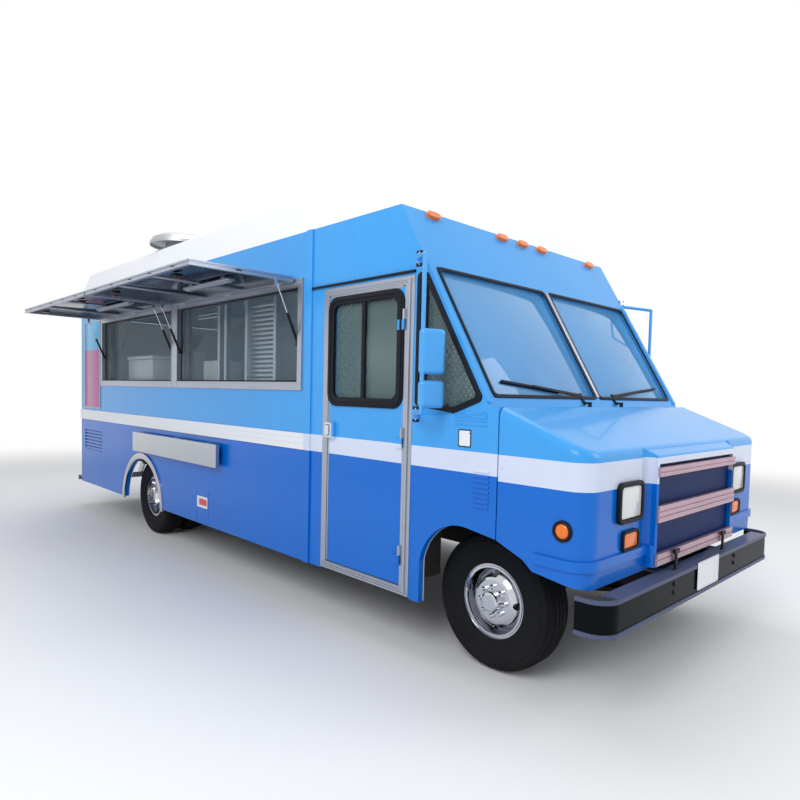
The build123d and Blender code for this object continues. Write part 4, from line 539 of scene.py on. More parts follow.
wheel_base = 4.47
front_track = 0.855
rear_tracks = (0.955, 0.690)
for name, side, tracks, x in (("front_tyre_right", -1, (front_track,), 0), ("front_tyre_left", 1, (front_track,), 0),
                              ("rear_tyres_right", -1, rear_tracks, -wheel_base),
                              ("rear_tyres_left", 1, rear_tracks, -wheel_base)):
    stations = [facing((0, side, 0), (0, 0, 1), (x, side * track, tyre_radius)) for track in tracks]
    tyres = repeated(casing(), stations, name.replace("_", "-"))
    body = name.replace("_tyre_", "_wheel_").replace("_tyres_", "_wheels_")
    fitted(tyres, body, tyre_rubber, stands_for=(name,))

# Wheels: pressed steel discs under polished stainless liners, which the road has dulled a little
# low down. The same finish serves for the rods, bolts and rivets further on.
polished_steel = mixed("polished_steel", chip(200, 202, 208), 0.1, metallic=1.0, grain=60, depth=0.2, ripple=6,
                       ripple_depth=0.6, rough_spread=0.1, dust=0.1, dust_top=0.8, tone_spread=0.08, bump=0.0006)
for name in ("front_wheel_right", "front_wheel_left", "rear_wheels_right", "rear_wheels_left"):
    wear(nodes[name], polished_steel)

# Window frames and door frames: mill-finish aluminium extrusions, drawn lengthways. Polished
# steel trims the rear arches, and the shelf is brushed stainless sheet with a folded edge.
mill_aluminium = mixed("mill_aluminium", chip(172, 178, 190), 0.36, metallic=0.9, grain=90, depth=0.5,
                       stretch=(0.08, 0.08, 6), rough_spread=0.18, dust=0.08, tone_spread=0.16)
brushed_steel = mixed("brushed_steel", chip(186, 190, 198), 0.26, metallic=1.0, grain=120, depth=0.5,
                      stretch=(0.05, 1, 8), rough_spread=0.16, ripple=1.6, ripple_depth=6.0, dust=0.05,
                      tone_spread=0.16, bump=0.0005)
galvanised = mixed("galvanised", chip(176, 180, 184), 0.45, metallic=0.85, grain=40, depth=0.8, rough_spread=0.2,
                   tone_spread=0.2, dust=0.1, dust_top=4)
wear(nodes["metal_frames"], mill_aluminium)
wear(nodes["arch_trims"], polished_steel)
wear(nodes["shelf"], brushed_steel)
wear(nodes["roof_vent"], galvanised)
wear(nodes["rear_bumper"], brushed_steel)


def rounded(points, radius, steps=5):
    """An outline with its corners rounded."""
    outline = []
    for index, corner in enumerate(points):
        corner = Vector(corner)
        before = (Vector(points[index - 1]) - corner).normalized()
        after = (Vector(points[(index + 1) % len(points)]) - corner).normalized()
        half = before.angle(after) / 2
        reach = radius / math.tan(half)
        centre = corner + (before + after).normalized() * radius / math.sin(half)
        first = corner + before * reach - centre
        last = corner + after * reach - centre
        for step in range(steps + 1):
            outline.append(tuple(centre + first.slerp(last, step / steps).normalized() * radius))
    return outline


def oblong(low_across, low_up, high_across, high_up, radius):
    return rounded([(low_across, low_up), (high_across, low_up), (high_across, high_up), (low_across, high_up)],
                   radius)


def cut_flat(name, loops, thick, soft, place):
    """A flat part cut to its outlines, with its edges broken, standing on the plane it is given."""
    drawn = bpy.data.curves.new(name, "CURVE")
    drawn.dimensions = "2D"
    drawn.fill_mode = "BOTH"
    drawn.extrude = thick / 2 - soft
    drawn.bevel_depth = soft
    drawn.bevel_resolution = 1
    drawn.offset = -soft
    piece = drawn_out(name, drawn, [[(across, up, 0) for across, up in loop] for loop in loops], True)
    return finished(piece, place @ Matrix.Translation((0, 0, thick / 2)))


half_width = 1.172


def side_face(side, proud=0.0):
    """The plane of a side wall, in which a part is drawn at its real place forward and up."""
    return facing((0, side, 0), (0, 0, 1), (0, side * (half_width + proud), 0))


def drawn_on(side, points):
    return [(-side * x, z) for x, z in points]


def side_plate(name, side, outlines, thick, soft, proud=0.0):
    """A flat part on a side wall, its outlines given as places forward and up."""
    return cut_flat(name, [drawn_on(side, outline) for outline in outlines], thick, soft, side_face(side, proud))


def bar(name, start, stop, width, thick, out, soft=0.002):
    """A flat bar or extrusion laid from one point to another on a face, whose front looks outward."""
    start, stop = Vector(start), Vector(stop)
    length = (stop - start).length
    place = facing(out, stop - start, tuple((start + stop) / 2))
    return cut_flat(name, [oblong(-width / 2, -length / 2, width / 2, length / 2, min(width / 3, 0.004))],
                    thick, soft, place)


def side_bar(name, side, y, start, stop, width, thick, soft=0.002):
    """A bar on a side wall between two places given as forward and up."""
    return bar(name, (start[0], side * y, start[1]), (stop[0], side * y, stop[1]), width, thick, (0, side, 0), soft)


# Windshield: two flat laminated panes, their sky blue a painted reflection of the sky, in a dark
# rubber gasket. A bright strip covers the joint down the middle.
screen_out = (1, 0, screen_lean)
screen_up = (-screen_lean, 0, 1)
screen_run = 0.8608
screen_foot = (0.090, 0, 1.545)


def glazed(name, colour, transmission, roughness, alpha=1.0):
    """Glass: either light passes through it and bends, or it is thin and shows what is behind it."""
    finish = mixed(name, colour, roughness, grain=8, depth=0.1, rough_spread=0.01, dust=0.02, tone_spread=0.04,
                   ripple=1.0, ripple_depth=0.3)
    feed(finish.node_tree, finish.node_tree.nodes["Principled BSDF"],
         {"Transmission Weight": transmission, "IOR": 1.45, "Alpha": alpha})
    return finish


# The windshield's sky blue is a painted reflection of the sky over partly clear glass.
screen_glass_painted_sky = glazed("screen_glass_painted_sky", chip(112, 186, 244), 0.4, 0.02)
side_glass = glazed("side_glass", chip(112, 140, 140), 0.0, 0.02, alpha=0.3)
serving_glass = glazed("serving_glass", chip(130, 160, 178), 0.0, 0.03, alpha=0.16)
screen_face = facing(screen_out, screen_up, screen_foot)
panes = []
for side in (1, -1):
    pane = [(side * 0.024, 0.002), (side * 1.095, 0.002), (side * 1.105, screen_run - 0.002),
            (side * 0.024, screen_run - 0.002)]
    panes.append(cut_flat("pane", [pane], 0.006, 0.001, screen_face @ Matrix.Translation((0, 0, -0.024))))
fitted(joined("screen_panes", panes), "vehicle", screen_glass_painted_sky, stands_for=("fixed_glass",))
wear(nodes["door_glass_right"], side_glass)
wear(nodes["door_glass_left"], side_glass)
seals = []
for side in (1, -1):
    pane = [(side * 0.020, 0.0), (side * 1.099, 0.0), (side * 1.109, screen_run), (side * 0.020, screen_run)]
    inner = [(side * 0.040, 0.020), (side * 1.078, 0.020), (side * 1.088, screen_run - 0.020),
             (side * 0.040, screen_run - 0.020)]
    seals.append(cut_flat("screen_seal", [rounded(pane, 0.03), rounded(inner, 0.025)], 0.010, 0.003,
                          screen_face @ Matrix.Translation((0, 0, -0.002))))
fitted(joined("screen_seals", seals), "vehicle", gasket_rubber)
foot = Vector(screen_foot)
lean = Vector(screen_up).normalized()
fitted(bar("screen_centre_strip", foot + lean * 0.012, foot + lean * (screen_run - 0.012), 0.026, 0.014, screen_out,
           soft=0.005), "vehicle", mill_aluminium)

# Quarter windows: a fixed pane in a thick black seal behind each windshield post, with an
# upright bar near its rear edge.
quarter = [(-0.425, 1.488), (-0.123, 1.454), (0.086, 1.531), (-0.342, 2.243), (-0.425, 2.256)]
quarter_in = [(-0.393, 1.517), (-0.130, 1.487), (0.038, 1.549), (-0.360, 2.208), (-0.393, 2.213)]
hands = ((-1, "right"), (1, "left"))
for side, hand in hands:
    fitted(side_plate("quarter_pane_" + hand, side, [rounded(quarter, 0.03)], 0.006, 0.001, -0.024), "vehicle",
           side_glass)
    seal = side_plate("quarter_seal", side, [rounded(quarter, 0.03), rounded(quarter_in, 0.02)], 0.016, 0.005, -0.006)
    post = side_bar("quarter_bar", side, 1.166, (-0.352, 1.515), (-0.352, 2.20), 0.018, 0.012)
    fitted(joined("quarter_seal_" + hand, [seal, post]), "vehicle", gasket_rubber)

# Cab doors: painted leaf with a rubber-set sliding window, a bright hinge strip down the front
# edge, aluminium edging, a ribbed sill and a pull handle in a chrome dish.
chrome = mixed("chrome", chip(214, 216, 222), 0.06, metallic=1.0, grain=40, depth=0.1, rough_spread=0.05, dust=0.04,
               tone_spread=0.05)
black_plastic = mixed("black_plastic", chip(12, 14, 20), 0.4, grain=700, depth=0.4, dust=0.05, tone_spread=0.1,
                      shine=0.2)
strip_y = 1.175
edge_y = 1.171
edge_low_z = 0.41
edge_high_z = 2.186
for side, hand in hands:
    body = "cab_door_" + hand
    seal = side_plate("door_seal", side, [oblong(-1.259, 1.462, -0.527, 2.180, 0.085),
                                          oblong(-1.196, 1.521, -0.585, 2.124, 0.050)], 0.022, 0.004, -0.010)
    crown = side_plate("door_seal_lip", side, [oblong(-1.245, 1.476, -0.541, 2.166, 0.075),
                                               oblong(-1.226, 1.493, -0.560, 2.149, 0.062)], 0.017, 0.005)
    slide = side_bar("door_slide_bar", side, 1.166, (-0.897, 1.50), (-0.897, 2.14), 0.034, 0.014)
    fitted(joined("door_seal_" + hand, [seal, crown, slide]), body, gasket_rubber)
    dish = side_plate("handle_dish", side, [oblong(-1.262, 1.246, -1.186, 1.352, 0.012),
                                            oblong(-1.246, 1.262, -1.202, 1.336, 0.01)], 0.030, 0.004)
    paddle = side_bar("handle_paddle", side, 1.196, (-1.224, 1.266), (-1.224, 1.332), 0.030, 0.012, 0.004)
    fitted(joined("door_handle_" + hand, [dish, paddle]), body, chrome)
    edges = [side_bar("door_edge", side, edge_y, start, stop, 0.012, 0.004, 0.001)
             for start, stop in (((-1.246, edge_low_z), (-1.246, edge_high_z)), ((-1.240, 2.184), (-0.541, 2.184)))]
    fitted(joined("door_edging_" + hand, edges), body, mill_aluminium)
    strip = [side_bar("jamb_strip", side, strip_y, (-0.486, 0.37), (-0.486, 2.23), 0.020, 0.010, 0.004)]
    strip += [side_bar("sill_rib", side, strip_y, (-1.30, z), (-0.46, z), 0.007, 0.007) for z in (0.366, 0.380, 0.394)]
    strip += [side_bar("head_rib", side, strip_y, (-1.30, z), (-0.46, z), 0.007, 0.006) for z in (2.206, 2.220)]
    fitted(joined("door_strips_" + hand, strip), "vehicle", mill_aluminium)
    fitted(side_bar("drip_rail_" + hand, side, half_width, (-1.452, 2.262), (-0.440, 2.262), 0.016, 0.016, 0.004),
           "vehicle", black_plastic)

# Rivets and screws: domed heads along the seams of the cab, the nose and the body's side walls,
# painted over with the panels they hold.
def dome(radius, rise):
    """One fastener head, turned and pressed flat underneath."""
    return turned("head", [(0.0001, rise), (radius * 0.5, rise * 0.85), (radius * 0.85, rise * 0.5), (radius, 0.0),
                           (radius, -0.001)], Matrix.Identity(4), steps=10)


def heads_on(name, side, places, radius, rise, body, finish, proud=0.0):
    """A row of fastener heads on a side wall, at places given as forward and up."""
    spots = [side_face(side, proud) @ Matrix.Translation((-side * x, z, 0)) for x, z in places]
    return fitted(repeated(dome(radius, rise), spots, name), body, finish)


cab_rivets = [(-0.40, 1.36), (-0.305, 1.352), (-0.21, 1.344), (-0.160, 1.366), (-0.005, 1.352), (0.108, 1.335)]
cab_rivets += [(-0.42, z) for z in (0.62, 0.72, 0.82, 0.92, 1.01, 1.10, 1.20)]
cab_rivets += [(x, 0.935) for x in (-0.37, -0.31, -0.26, -0.17, -0.07)] + [(-0.035, z) for z in (1.225, 1.06)]
cab_rivets += [(0.15, z) for z in (1.16, 1.00, 0.90)] + [(0.108, 1.225), (0.118, 1.12)]
cab_rivets += [(x, 2.285 + 0.012 * (x + 1.45)) for x in (-1.40, -1.27, -1.14, -1.01, -0.88, -0.75, -0.62, -0.49)]
cab_rivets += [(x, 2.565) for x in (-1.38, -1.26, -1.14, -1.02, -0.90, -0.78, -0.66)]
cab_rivets += [(-0.40, 2.36), (-0.36, 2.36), (-0.40, 2.33), (-0.36, 2.33)]
nose_rivets = [(0.215, z) for z in (1.345, 1.19, 0.985, 0.90)]
wall_rivets = [(x, z) for z in (1.30, 1.50) for x in [-6.43 + 0.30 * step for step in range(3)]]
wall_rivets += [(-1.60 - 0.16 * step, 0.37) for step in range(18)] + [(-6.44, 0.45 + 0.14 * step) for step in range(5)]
wall_rivets += [(-1.60 - 0.24 * step, 2.60) for step in range(20)]
for side, hand in hands:
    heads_on("cab_rivets_" + hand, side, cab_rivets, 0.0065, 0.0032, "vehicle", cab_side_paint)
    heads_on("nose_rivets_" + hand, side, nose_rivets, 0.009, 0.004, "nose", nose_paint)
    heads_on("box_rivets_" + hand, side, wall_rivets, 0.005, 0.0025, "vehicle", box_paint)

# Blank plates: a paper label under the quarter window, a sticker over the filler hatch with the
# hatch's own outline, a pressed panel on the cab side, and the number plate with the bolts that
# hold the bumper on each side of it.
label_white = mixed("label_white", chip(226, 230, 236), 0.4, grain=500, depth=0.3, dust=0.05, tone_spread=0.06)
label_red = mixed("label_red", chip(206, 70, 84), 0.4, grain=500, depth=0.3, dust=0.05, tone_spread=0.1)
fitted(side_plate("cab_label", -1, [oblong(-0.082, 1.280, 0.0, 1.367, 0.006)], 0.0016, 0.0005), "vehicle",
       label_white)
fitted(side_plate("cab_label_rim", -1, [oblong(-0.086, 1.276, 0.004, 1.371, 0.008),
                                        oblong(-0.080, 1.282, -0.002, 1.365, 0.005)], 0.0024, 0.0005), "vehicle",
       black_plastic)
fitted(side_plate("hatch_sticker", -1, [oblong(-3.20, 0.49, -3.00, 0.59, 0.004)], 0.0012, 0.0004), "vehicle",
       label_white)
fitted(side_plate("hatch_sticker_band", -1, [oblong(-3.155, 0.512, -3.012, 0.570, 0.003)], 0.0016, 0.0004), "vehicle",
       label_red)
fitted(side_plate("hatch_rim", -1, [oblong(-3.22, 0.352, -2.98, 0.66, 0.012),
                                    oblong(-3.212, 0.360, -2.988, 0.652, 0.008)], 0.0016, 0.0005), "vehicle",
       box_paint)
pressing = [(-0.115, 1.432), (0.112, 1.432), (0.098, 1.470), (-0.02, 1.448), (-0.115, 1.462)]
pressing_in = [(-0.108, 1.437), (0.106, 1.437), (0.094, 1.462), (-0.02, 1.442), (-0.108, 1.455)]
for side, hand in hands:
    pressed = [side_plate("pressed", side, [rounded(pressing, 0.004), rounded(pressing_in, 0.002)], 0.004, 0.0015)]
    pressed += [side_bar("pressed_rib", side, half_width, (-0.115, z), (0.112, z), 0.005, 0.004, 0.0015)
                for z in (1.418, 1.396)]
    fitted(joined("pressed_panel_" + hand, pressed), "vehicle", cab_side_paint)
plate_face = facing((1, 0, 0), (0, 0, 1), (0.822, 0, 0))
fitted(cut_flat("number_plate", [oblong(-0.1525, 0.497, 0.1525, 0.647, 0.012)], 0.003, 0.001, plate_face),
       "vehicle", label_white)
fitted(cut_flat("number_plate_rim", [oblong(-0.158, 0.492, 0.158, 0.652, 0.014),
                                     oblong(-0.149, 0.501, 0.149, 0.643, 0.010)], 0.005, 0.0015, plate_face),
       "vehicle", chrome)
bumper_bolts = [plate_face @ Matrix.Translation((y, z, -0.006)) for y in (-0.45, 0.45) for z in (0.545, 0.59)]
fitted(repeated(dome(0.016, 0.010), bumper_bolts, "bumper_bolts"), "vehicle", black_plastic)

# Nose: square moulded headlight lenses in black bezels, amber turn signals below them and amber
# marker lamps on the flanks, each in its rubber ring. The lamps at the rear are the same, in red.
amber = chip(236, 116, 18)
tail_red = chip(170, 14, 20)
tail_x = -6.0
amber_lens = mixed("amber_lens", amber, 0.18, coat=0.4, grain=60, depth=0.9, tone_spread=0.25, dust=0.0,
                   bump=0.002)
banded(amber_lens, amber, tail_red, (-1, 0, 0), -(axle_x + tail_x), 50)
clear_lens = mixed("clear_lens", chip(216, 220, 222), 0.12, coat=0.5, grain=26, depth=1.0, tone_spread=0.25,
                   dust=0.0, bump=0.003)
wear(nodes["marker_lamps"], amber_lens)
nose_front = facing((1, 0, 0), (0, 0, 1), (0.700, 0, 0))
for side, hand in hands:
    low, high = sorted((side * 0.640, side * 0.900))
    bezel = cut_flat("bezel", [oblong(low, 0.940, high, 1.147, 0.036),
                               oblong(low + 0.022, 0.962, high - 0.022, 1.125, 0.026)], 0.024, 0.006, nose_front)
    back = cut_flat("bezel_back", [oblong(low + 0.015, 0.955, high - 0.015, 1.132, 0.03)], 0.006, 0.001, nose_front)
    turn_low, turn_high = sorted((side * 0.667, side * 0.840))
    small = cut_flat("turn_bezel", [oblong(turn_low, 0.798, turn_high, 0.901, 0.026),
                                    oblong(turn_low + 0.013, 0.811, turn_high - 0.013, 0.888, 0.018)],
                     0.018, 0.004, nose_front)
    small_back = cut_flat("turn_back", [oblong(turn_low + 0.01, 0.808, turn_high - 0.01, 0.891, 0.02)], 0.004, 0.001,
                          nose_front)
    flank = side_face(side) @ Matrix.Translation((-side * 0.577, 0.928, 0))
    ring = turned("marker_ring", [(0.036, 0.006), (0.038, 0.013), (0.044, 0.016), (0.050, 0.012), (0.052, 0.0)], flank)
    fitted(joined("nose_bezels_" + hand, [bezel, back, small, small_back, ring]), "nose", gasket_rubber,
           stands_for=("hood_lamps",))
    fitted(slab("headlight_" + hand, (0.690, low + 0.022, 0.962), (0.719, high - 0.022, 1.125), 0.013), "nose",
           clear_lens)
    fitted(slab("turn_signal_" + hand, (0.690, turn_low + 0.013, 0.811), (0.714, turn_high - 0.013, 0.888), 0.011),
           "nose", amber_lens)
    fitted(turned("marker_" + hand, [(0.0001, 0.019), (0.008, 0.019), (0.010, 0.016), (0.026, 0.014), (0.034, 0.010),
                                     (0.038, 0.004)], flank), "nose", amber_lens)

# Grille: dark blue wire mesh behind three ribbed bars of anodised aluminium. The nose is held
# shut by a rubber T-latch at each side of it.
anodised = chip(190, 164, 176)
mesh_navy = chip(4, 34, 88)
grille_wire = mixed("grille_wire", mesh_navy, 0.42, grain=260, depth=0.9, dust=0.0, tone_spread=0.4, bump=0.002,
                    shine=0.1)
bar_front_x = 0.742
banded(grille_wire, mesh_navy, anodised, (1, 0, 0), axle_x + bar_front_x, 50, metal=True)
wear(nodes["hood_grille"], grille_wire)
latch_x = 0.772
for side, hand in hands:
    y = side * 0.35
    catch = [bar("latch_stem", (latch_x, y, 0.635), (latch_x, y, 0.735), 0.022, 0.012, (1, 0, 0), soft=0.003),
             bar("latch_tee", (latch_x, y - 0.032, 0.742), (latch_x, y + 0.032, 0.742), 0.024, 0.016, (1, 0, 0),
                 soft=0.005),
             bar("latch_foot", (0.770, y - 0.022, 0.636), (0.770, y + 0.022, 0.636), 0.030, 0.012, (1, 0, 0),
                 soft=0.004)]
    fitted(joined("nose_latch_" + hand, catch), "nose", black_plastic)

# Rear doors: a chromed pull on a plate, with a lock rod above it and one below, held in guides down
# the meeting edge of the right-hand leaf. The lock swings with that leaf.
backward = (-1, 0, 0)
leaf_x = -6.460
pull_x = -6.4701
lock_y = -0.052
rods = [bar("lock_rod", (leaf_x, lock_y, low_z), (leaf_x, lock_y, high_z), 0.016, 0.012, backward, soft=0.005)
        for low_z, high_z in ((0.86, 1.36), (1.52, 2.30))]
rods += [bar("lock_plate", (leaf_x, lock_y, 1.36), (leaf_x, lock_y, 1.52), 0.055, 0.010, backward, soft=0.003),
         bar("lock_pull", (pull_x, -0.150, 1.440), (pull_x, -0.045, 1.440), 0.024, 0.014, backward, soft=0.005)]
rods += [bar("rod_guide", (leaf_x, -0.072, z), (leaf_x, -0.032, z), 0.022, 0.016, backward, soft=0.003)
         for z in (0.95, 1.20, 1.75, 2.15)]
fitted(joined("rear_door_lock", rods), "rear_door_right", chrome)

# Mirrors: moulded heads on a bent tube, all painted with the cab. The tube stands on two black
# foot plates, each held by a pair of steel bolts.
mirror_paint = mixed("mirror_paint", sky_blue, 0.26, coat=0.3, grain=300, depth=0.2, dust=0.02, tone_spread=0.08)
wear(nodes["mirrors"], mirror_paint)
mirror_foot_x = -0.415
mirror_feet_z = (1.438, 2.329)
for side, hand in hands:
    feet = [side_bar("foot_plate", side, half_width, (mirror_foot_x, z - 0.045), (mirror_foot_x, z + 0.045), 0.05,
                     0.005) for z in mirror_feet_z]
    fitted(joined("mirror_feet_" + hand, feet), "vehicle", black_plastic)
    heads_on("mirror_bolts_" + hand, side, [(mirror_foot_x, z + step) for z in mirror_feet_z
                                            for step in (-0.032, 0.032)],
             0.006, 0.004, "vehicle", polished_steel, proud=0.005)

# Awnings: aluminium channel frames round a sheet painted dark navy as shade and reflection, with
# two ribs, a strip light, two catches and two red pilot lamps underneath. Slots and rivets run
# along the channel, and gas struts with black cylinders hold each one up.
# The underside sheet's dark navy is painted shade and dark reflection on a metal sheet.
awning_sheet_painted_shade = mixed("awning_sheet_painted_shade", chip(26, 38, 62), 0.14, grain=200, depth=0.2, ripple=1.2, ripple_depth=4.0,
                    dust=0.0, tone_spread=0.3, bump=0.001, shine=0.35)
lamp_glow = mixed("lamp_glow", chip(150, 154, 164), 0.3, grain=200, depth=0.4, dust=0.0, tone_spread=0.05)
signal_red = mixed("signal_red", chip(120, 26, 26), 0.3, coat=0.3, grain=200, depth=0.4, dust=0.0, tone_spread=0.1)
for name in ("awning_rear", "awning_front"):
    wear(nodes[name], mill_aluminium)
for name in ("awning_rear_cylinders", "awning_front_cylinders"):
    wear(nodes[name], black_plastic)
for name in ("awning_rear_rods", "awning_front_rods"):
    wear(nodes[name], polished_steel)
under = (0, 0, -1)
ceiling = 2.3535
frame_under_z = 2.330
frame_front_y = -1.968
slot_z = 2.349
light_y = -1.55
for name, low_x, high_x, light_low, light_high in (("awning_rear", -5.700, -3.700, -4.62, -3.77),
                                                   ("awning_front", -3.664, -1.664, -2.61, -1.90)):
    fitted(slab(name + "_lining", (low_x + 0.031, -1.937, ceiling - 0.003), (high_x - 0.031, -1.230, ceiling),
                0.001), name, awning_sheet_painted_shade)
    ribs = [slab("rib", (x - 0.016, -1.935, 2.334), (x + 0.016, -1.232, ceiling - 0.003), 0.003)
            for x in (low_x + 0.68, high_x - 0.68)]
    ribs.append(slab("light_body", (light_low, light_y - 0.030, 2.318), (light_high, light_y + 0.030, 2.335), 0.004))
    ribs += [slab("light_foot", (x - 0.03, light_y - 0.018, 2.333), (x + 0.03, light_y + 0.018, ceiling - 0.002),
                  0.003) for x in (light_low + 0.1, light_high - 0.1)]
    fitted(joined(name + "_ribs", ribs), name, mill_aluminium)
    fitted(slab(name + "_light", (light_low + 0.015, light_y - 0.022, 2.307),
                (light_high - 0.015, light_y + 0.022, 2.320), 0.006), name, lamp_glow)
    catches = [slab("catch", (x - 0.045, -1.892, 2.317), (x + 0.045, -1.838, 2.335), 0.004)
               for x in (low_x + 0.42, high_x - 0.42)]
    catches += [bar("slot", (x - 0.02, frame_front_y, slot_z), (x + 0.02, frame_front_y, slot_z), 0.007, 0.0012,
                    (0, -1, 0), soft=0.0004) for x in [low_x + 0.25 + 0.375 * step for step in range(5)]]
    catches += [bar("end_slot", (end_x, -1.64, slot_z), (end_x, -1.60, slot_z), 0.007, 0.0012, (out, 0, 0),
                    soft=0.0004) for end_x, out in ((low_x, -1), (high_x, 1))]
    fitted(joined(name + "_catches", catches), name, black_plastic)
    lights = [slab("pilot", (x - 0.028, -1.80, 2.322), (x + 0.028, -1.765, 2.334), 0.004)
              for x in (low_x + 0.17, high_x - 0.55)]
    fitted(joined(name + "_pilots", lights), name, signal_red)
    front_heads = [facing((0, -1, 0), (0, 0, 1), (low_x + 0.05 + 0.158 * step, frame_front_y, 2.360))
                   for step in range(13)]
    under_heads = [facing(under, (0, -1, 0), (low_x + 0.05 + 0.211 * step, y, frame_under_z))
                   for step in range(10) for y in (-1.953, -1.213)]
    under_heads += [facing(under, (0, -1, 0), (x, y, frame_under_z)) for x in (low_x + 0.015, high_x - 0.015)
                    for y in (-1.86, -1.70, -1.54, -1.38)]
    fitted(repeated(dome(0.0055, 0.002), front_heads + under_heads, name + "_rivets"), name, polished_steel)

# Serving window: dark anodised posts and a top channel behind two clear panes, a thin rubber
# line round each pane, and low raised lips on the bright frame.
post_bronze = mixed("post_bronze", chip(92, 88, 84), 0.4, metallic=0.6, grain=90, depth=0.5, stretch=(0.08, 0.08, 6),
                    rough_spread=0.2, dust=0.0, tone_spread=0.3)
inner_y = -1.112
posts = [slab("post", (x, inner_y - 0.018, 1.60), (x + width, inner_y + 0.022, 2.32), 0.003)
         for x, width in ((-5.640, 0.05), (-5.575, 0.04), (-3.600, 0.05), (-3.535, 0.04))]
posts.append(slab("top_channel", (-5.66, inner_y - 0.016, 2.276), (-1.63, inner_y + 0.02, 2.300), 0.003))
fitted(joined("serving_posts", posts), "vehicle", post_bronze)
serving_openings = (("rear", -5.673, -3.749), ("front", -3.615, -1.625))
lines = [side_plate("pane_line", -1, [oblong(low_x + 0.001, 1.620, high_x - 0.001, 2.291, 0.012),
                                      oblong(low_x + 0.012, 1.631, high_x - 0.012, 2.280, 0.008)], 0.010, 0.003, -0.038)
         for which, low_x, high_x in serving_openings]
fitted(joined("pane_lines", lines), "vehicle", gasket_rubber)
for which, low_x, high_x in serving_openings:
    fitted(side_plate("serving_pane_" + which, -1, [oblong(low_x + 0.002, 1.621, high_x - 0.002, 2.290, 0.004)],
                      0.006, 0.001, -0.036), "vehicle", serving_glass)
lip_y = 1.182
lips = [side_bar(part, -1, lip_y, (-5.733, z), (-1.565, z), width, 0.003, 0.001)
        for part, z, width in (("sill_lip", 1.566, 0.014), ("sill_lip", 1.606, 0.008), ("head_lip", 2.346, 0.010))]
lips += [side_bar("jamb_lip", -1, lip_y, (x, 1.575), (x, 2.34), 0.010, 0.003, 0.001)
         for x in (-5.725, -1.573, -3.741, -3.623)]
fitted(joined("window_lips", lips), "vehicle", mill_aluminium)

# Menu board: a blank printed sheet, rose below and sky blue above, under a thin silver frame. Both
# are fixed flat on the right wall, to the rear of the serving window.
menu_rose = chip(178, 96, 152)
menu_sky = chip(72, 178, 232)
menu_split_z = 1.99
menu_print = mixed("menu_print", menu_rose, 0.35, coat=0.2, grain=300, depth=0.2, dust=0.04, tone_spread=0.2)
banded(menu_print, menu_rose, menu_sky, (0, 0, 1), menu_split_z, 50)
board = oblong(-6.327, 1.282, -5.750, 2.340, 0.012)
board_in = oblong(-6.310, 1.299, -5.767, 2.323, 0.008)
fitted(side_plate("menu_sheet", -1, [board_in], 0.004, 0.001), "vehicle", menu_print)
fitted(side_plate("menu_frame", -1, [board, board_in], 0.010, 0.003), "vehicle", mill_aluminium)

# Floor, dash and step wells: grey sheet vinyl underfoot, textured plastic on the dash, and a
# steering wheel covered in rubber.
floor_vinyl = mixed("floor_vinyl", chip(60, 60, 62), 0.6, grain=80, depth=0.6, dust=0.1, tone_spread=0.2)
dash_plastic = mixed("dash_plastic", chip(52, 54, 58), 0.6, grain=500, depth=0.6, dust=0.05, tone_spread=0.1)
wear(nodes["floor"], floor_vinyl)
wear(nodes["step_wells"], floor_vinyl)
wear(nodes["dashboard"], dash_plastic)
wear(nodes["steering_wheel"], gasket_rubber)

# Kitchen: stainless counter, range and hood, with a slatted steel panel behind the front pane,
# white cold boxes, and a pair of ticket rails hung near the head of the opening.
kitchen_steel = mixed("kitchen_steel", chip(168, 176, 184), 0.3, metallic=0.85, grain=100, depth=0.5,
                      stretch=(0.05, 1, 8), rough_spread=0.15, dust=0.0, tone_spread=0.2)
cold_white = mixed("cold_white", chip(206, 216, 220), 0.35, coat=0.2, grain=200, depth=0.3, dust=0.0,
                   tone_spread=0.08)
wear(nodes["kitchen_counter"], kitchen_steel)
wear(nodes["cooking_line"], kitchen_steel)

slats = [slab("slat", (-2.430, -1.085, 1.585 + 0.037 * step), (-2.045, -1.068, 1.585 + 0.037 * step + 0.030), 0.008)
         for step in range(18)]
fitted(joined("slatted_panel", slats), "vehicle", kitchen_steel)
boxes = [slab("chest", (-5.30, -1.02, 1.548), (-4.60, -0.62, 1.86), 0.02),
         slab("chest_lid", (-5.31, -1.03, 1.862), (-4.59, -0.61, 1.90), 0.012),
         slab("tall_box", (-4.12, -0.95, 1.548), (-3.93, -0.72, 1.92), 0.015),
         slab("small_box", (-3.50, -0.98, 1.548), (-3.22, -0.72, 1.82), 0.015)]
fitted(joined("cold_boxes", boxes), "vehicle", cold_white)
tickets = [side_bar("ticket_rail", -1, 1.075, (-3.60, z), (-2.95, z), 0.012, 0.006) for z in (2.225, 2.195)]
fitted(joined("ticket_rails", tickets), "vehicle", polished_steel)

# Bulkhead behind the cab: stainless sheet quilted in diamonds, on a flat steel leaf at each side
# of the doorway, with an upright grab handle beside it.
quilt_low_z = 0.80
quilt_high_z = 2.52
diamond = 0.075
take_up()
bpy.ops.mesh.primitive_cone_add(vertices=4, radius1=diamond * 0.49, radius2=diamond * 0.30, depth=0.005)
pillow = bpy.context.object
bpy.ops.object.transform_apply(location=True, rotation=True, scale=True)
pillow_places = []
for side_low, side_high, which in ((-1.125, -0.70, "right"), (-0.28, 1.125, "left")):
    fitted(slab("bulkhead_" + which, (-1.470, side_low, quilt_low_z), (-1.452, side_high, quilt_high_z), 0.004),
           "vehicle", kitchen_steel)
    for row in range(int((quilt_high_z - quilt_low_z) / diamond * 2) - 2):
        z = quilt_low_z + (row + 2) * diamond / 2
        for column in range(int((side_high - side_low) / diamond) - 1):
            y = side_low + (column + 1 + (row % 2) / 2) * diamond
            pillow_places.append(facing((1, 0, 0), (0, 0, 1), (-1.450, y, z)))
fitted(repeated(pillow, pillow_places, "quilted_sheet"), "vehicle", brushed_steel)
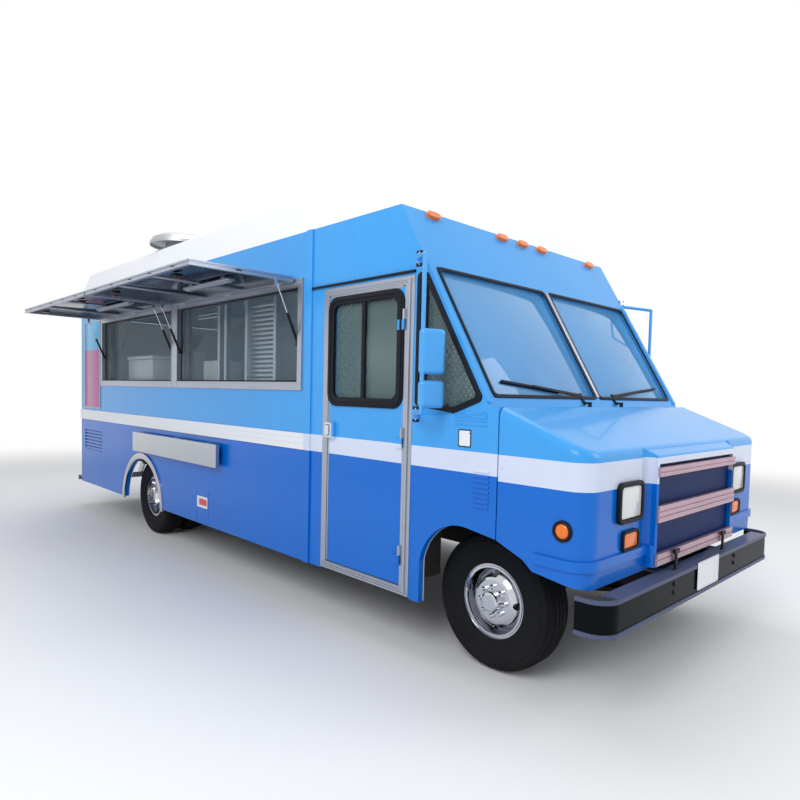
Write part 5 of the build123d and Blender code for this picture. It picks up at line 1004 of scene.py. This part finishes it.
grab = [slab("grab_bar", (-1.405, -0.215, 1.45), (-1.381, -0.191, 2.15), 0.010)]
grab += [slab("grab_foot", (-1.452, -0.217, z), (-1.385, -0.189, z + 0.03), 0.006) for z in (1.45, 2.12)]
fitted(joined("grab_handle", grab), "vehicle", black_plastic)

# Driver's seat: vinyl over foam, a cushion and a back that are each sewn with two channels, on a
# steel box painted black.
seat_vinyl = mixed("seat_vinyl", chip(40, 40, 46), 0.5, grain=300, depth=0.8, dust=0.0, tone_spread=0.15,
                   shine=0.3)
seat_low, seat_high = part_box("driver_seat")
seat_x = -0.760
seat_y = (seat_low.y + seat_high.y) / 2 - axle_y
seat_floor = seat_low.z
seat_box = slab("seat_box", (seat_x - 0.13, seat_y - 0.13, seat_floor),
                (seat_x + 0.13, seat_y + 0.13, seat_floor + 0.402), 0.008)
fitted(seat_box, "vehicle", chassis_black, stands_for=("driver_seat",))


def stuffed(name, low, high, channels, out):
    """A foam pad: a block drawn in at its corners and crowned, with sewn channels across it."""
    pad = block(name, low, high)
    low, high = at(*low), at(*high)
    bpy.ops.object.mode_set(mode="EDIT")
    bpy.ops.mesh.select_all(action="SELECT")
    bpy.ops.mesh.subdivide(number_cuts=11)
    bpy.ops.object.mode_set(mode="OBJECT")
    middle = (low + high) / 2
    size = high - low
    out = Vector(out)
    face_axis = [abs(part) for part in out].index(1)
    for vertex in pad.data.vertices:
        share = [(vertex.co[axis] - middle[axis]) / size[axis] * 2 for axis in range(3)]
        spread = 1.0
        for axis in range(3):
            if axis != face_axis:
                spread *= 1 - 0.55 * abs(share[axis]) ** 4
        vertex.co[face_axis] = middle[face_axis] + (vertex.co[face_axis] - middle[face_axis]) * (0.55 + 0.45 * spread)
        for axis in range(3):
            if axis != face_axis:
                others = 1.0
                for other in range(3):
                    if other != axis:
                        others *= 1 - 0.10 * abs(share[other]) ** 3
                vertex.co[axis] = middle[axis] + (vertex.co[axis] - middle[axis]) * others
        along = share[1]
        for channel in channels:
            dip = math.exp(-((along - channel) / 0.06) ** 2)
            if share[face_axis] * out[face_axis] > 0.6:
                vertex.co[face_axis] -= out[face_axis] * 0.012 * dip
    round_off = pad.modifiers.new("foam", "SUBSURF")
    round_off.levels = 1
    round_off.render_levels = 1
    bpy.ops.object.modifier_apply(modifier=round_off.name)
    smoothed(pad, 60)
    fitted(pad, "vehicle", seat_vinyl)
    return pad


seams = (-0.35, 0.35)
stuffed("seat_cushion", (seat_x - 0.24, seat_y - 0.24, seat_floor + 0.400),
        (seat_x + 0.24, seat_y + 0.24, seat_floor + 0.51), seams, (0, 0, 1))
stuffed("seat_back", (seat_x - 0.305, seat_y - 0.235, seat_floor + 0.490),
        (seat_x - 0.195, seat_y + 0.235, seat_floor + 1.11), seams, (1, 0, 0))

low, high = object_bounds()
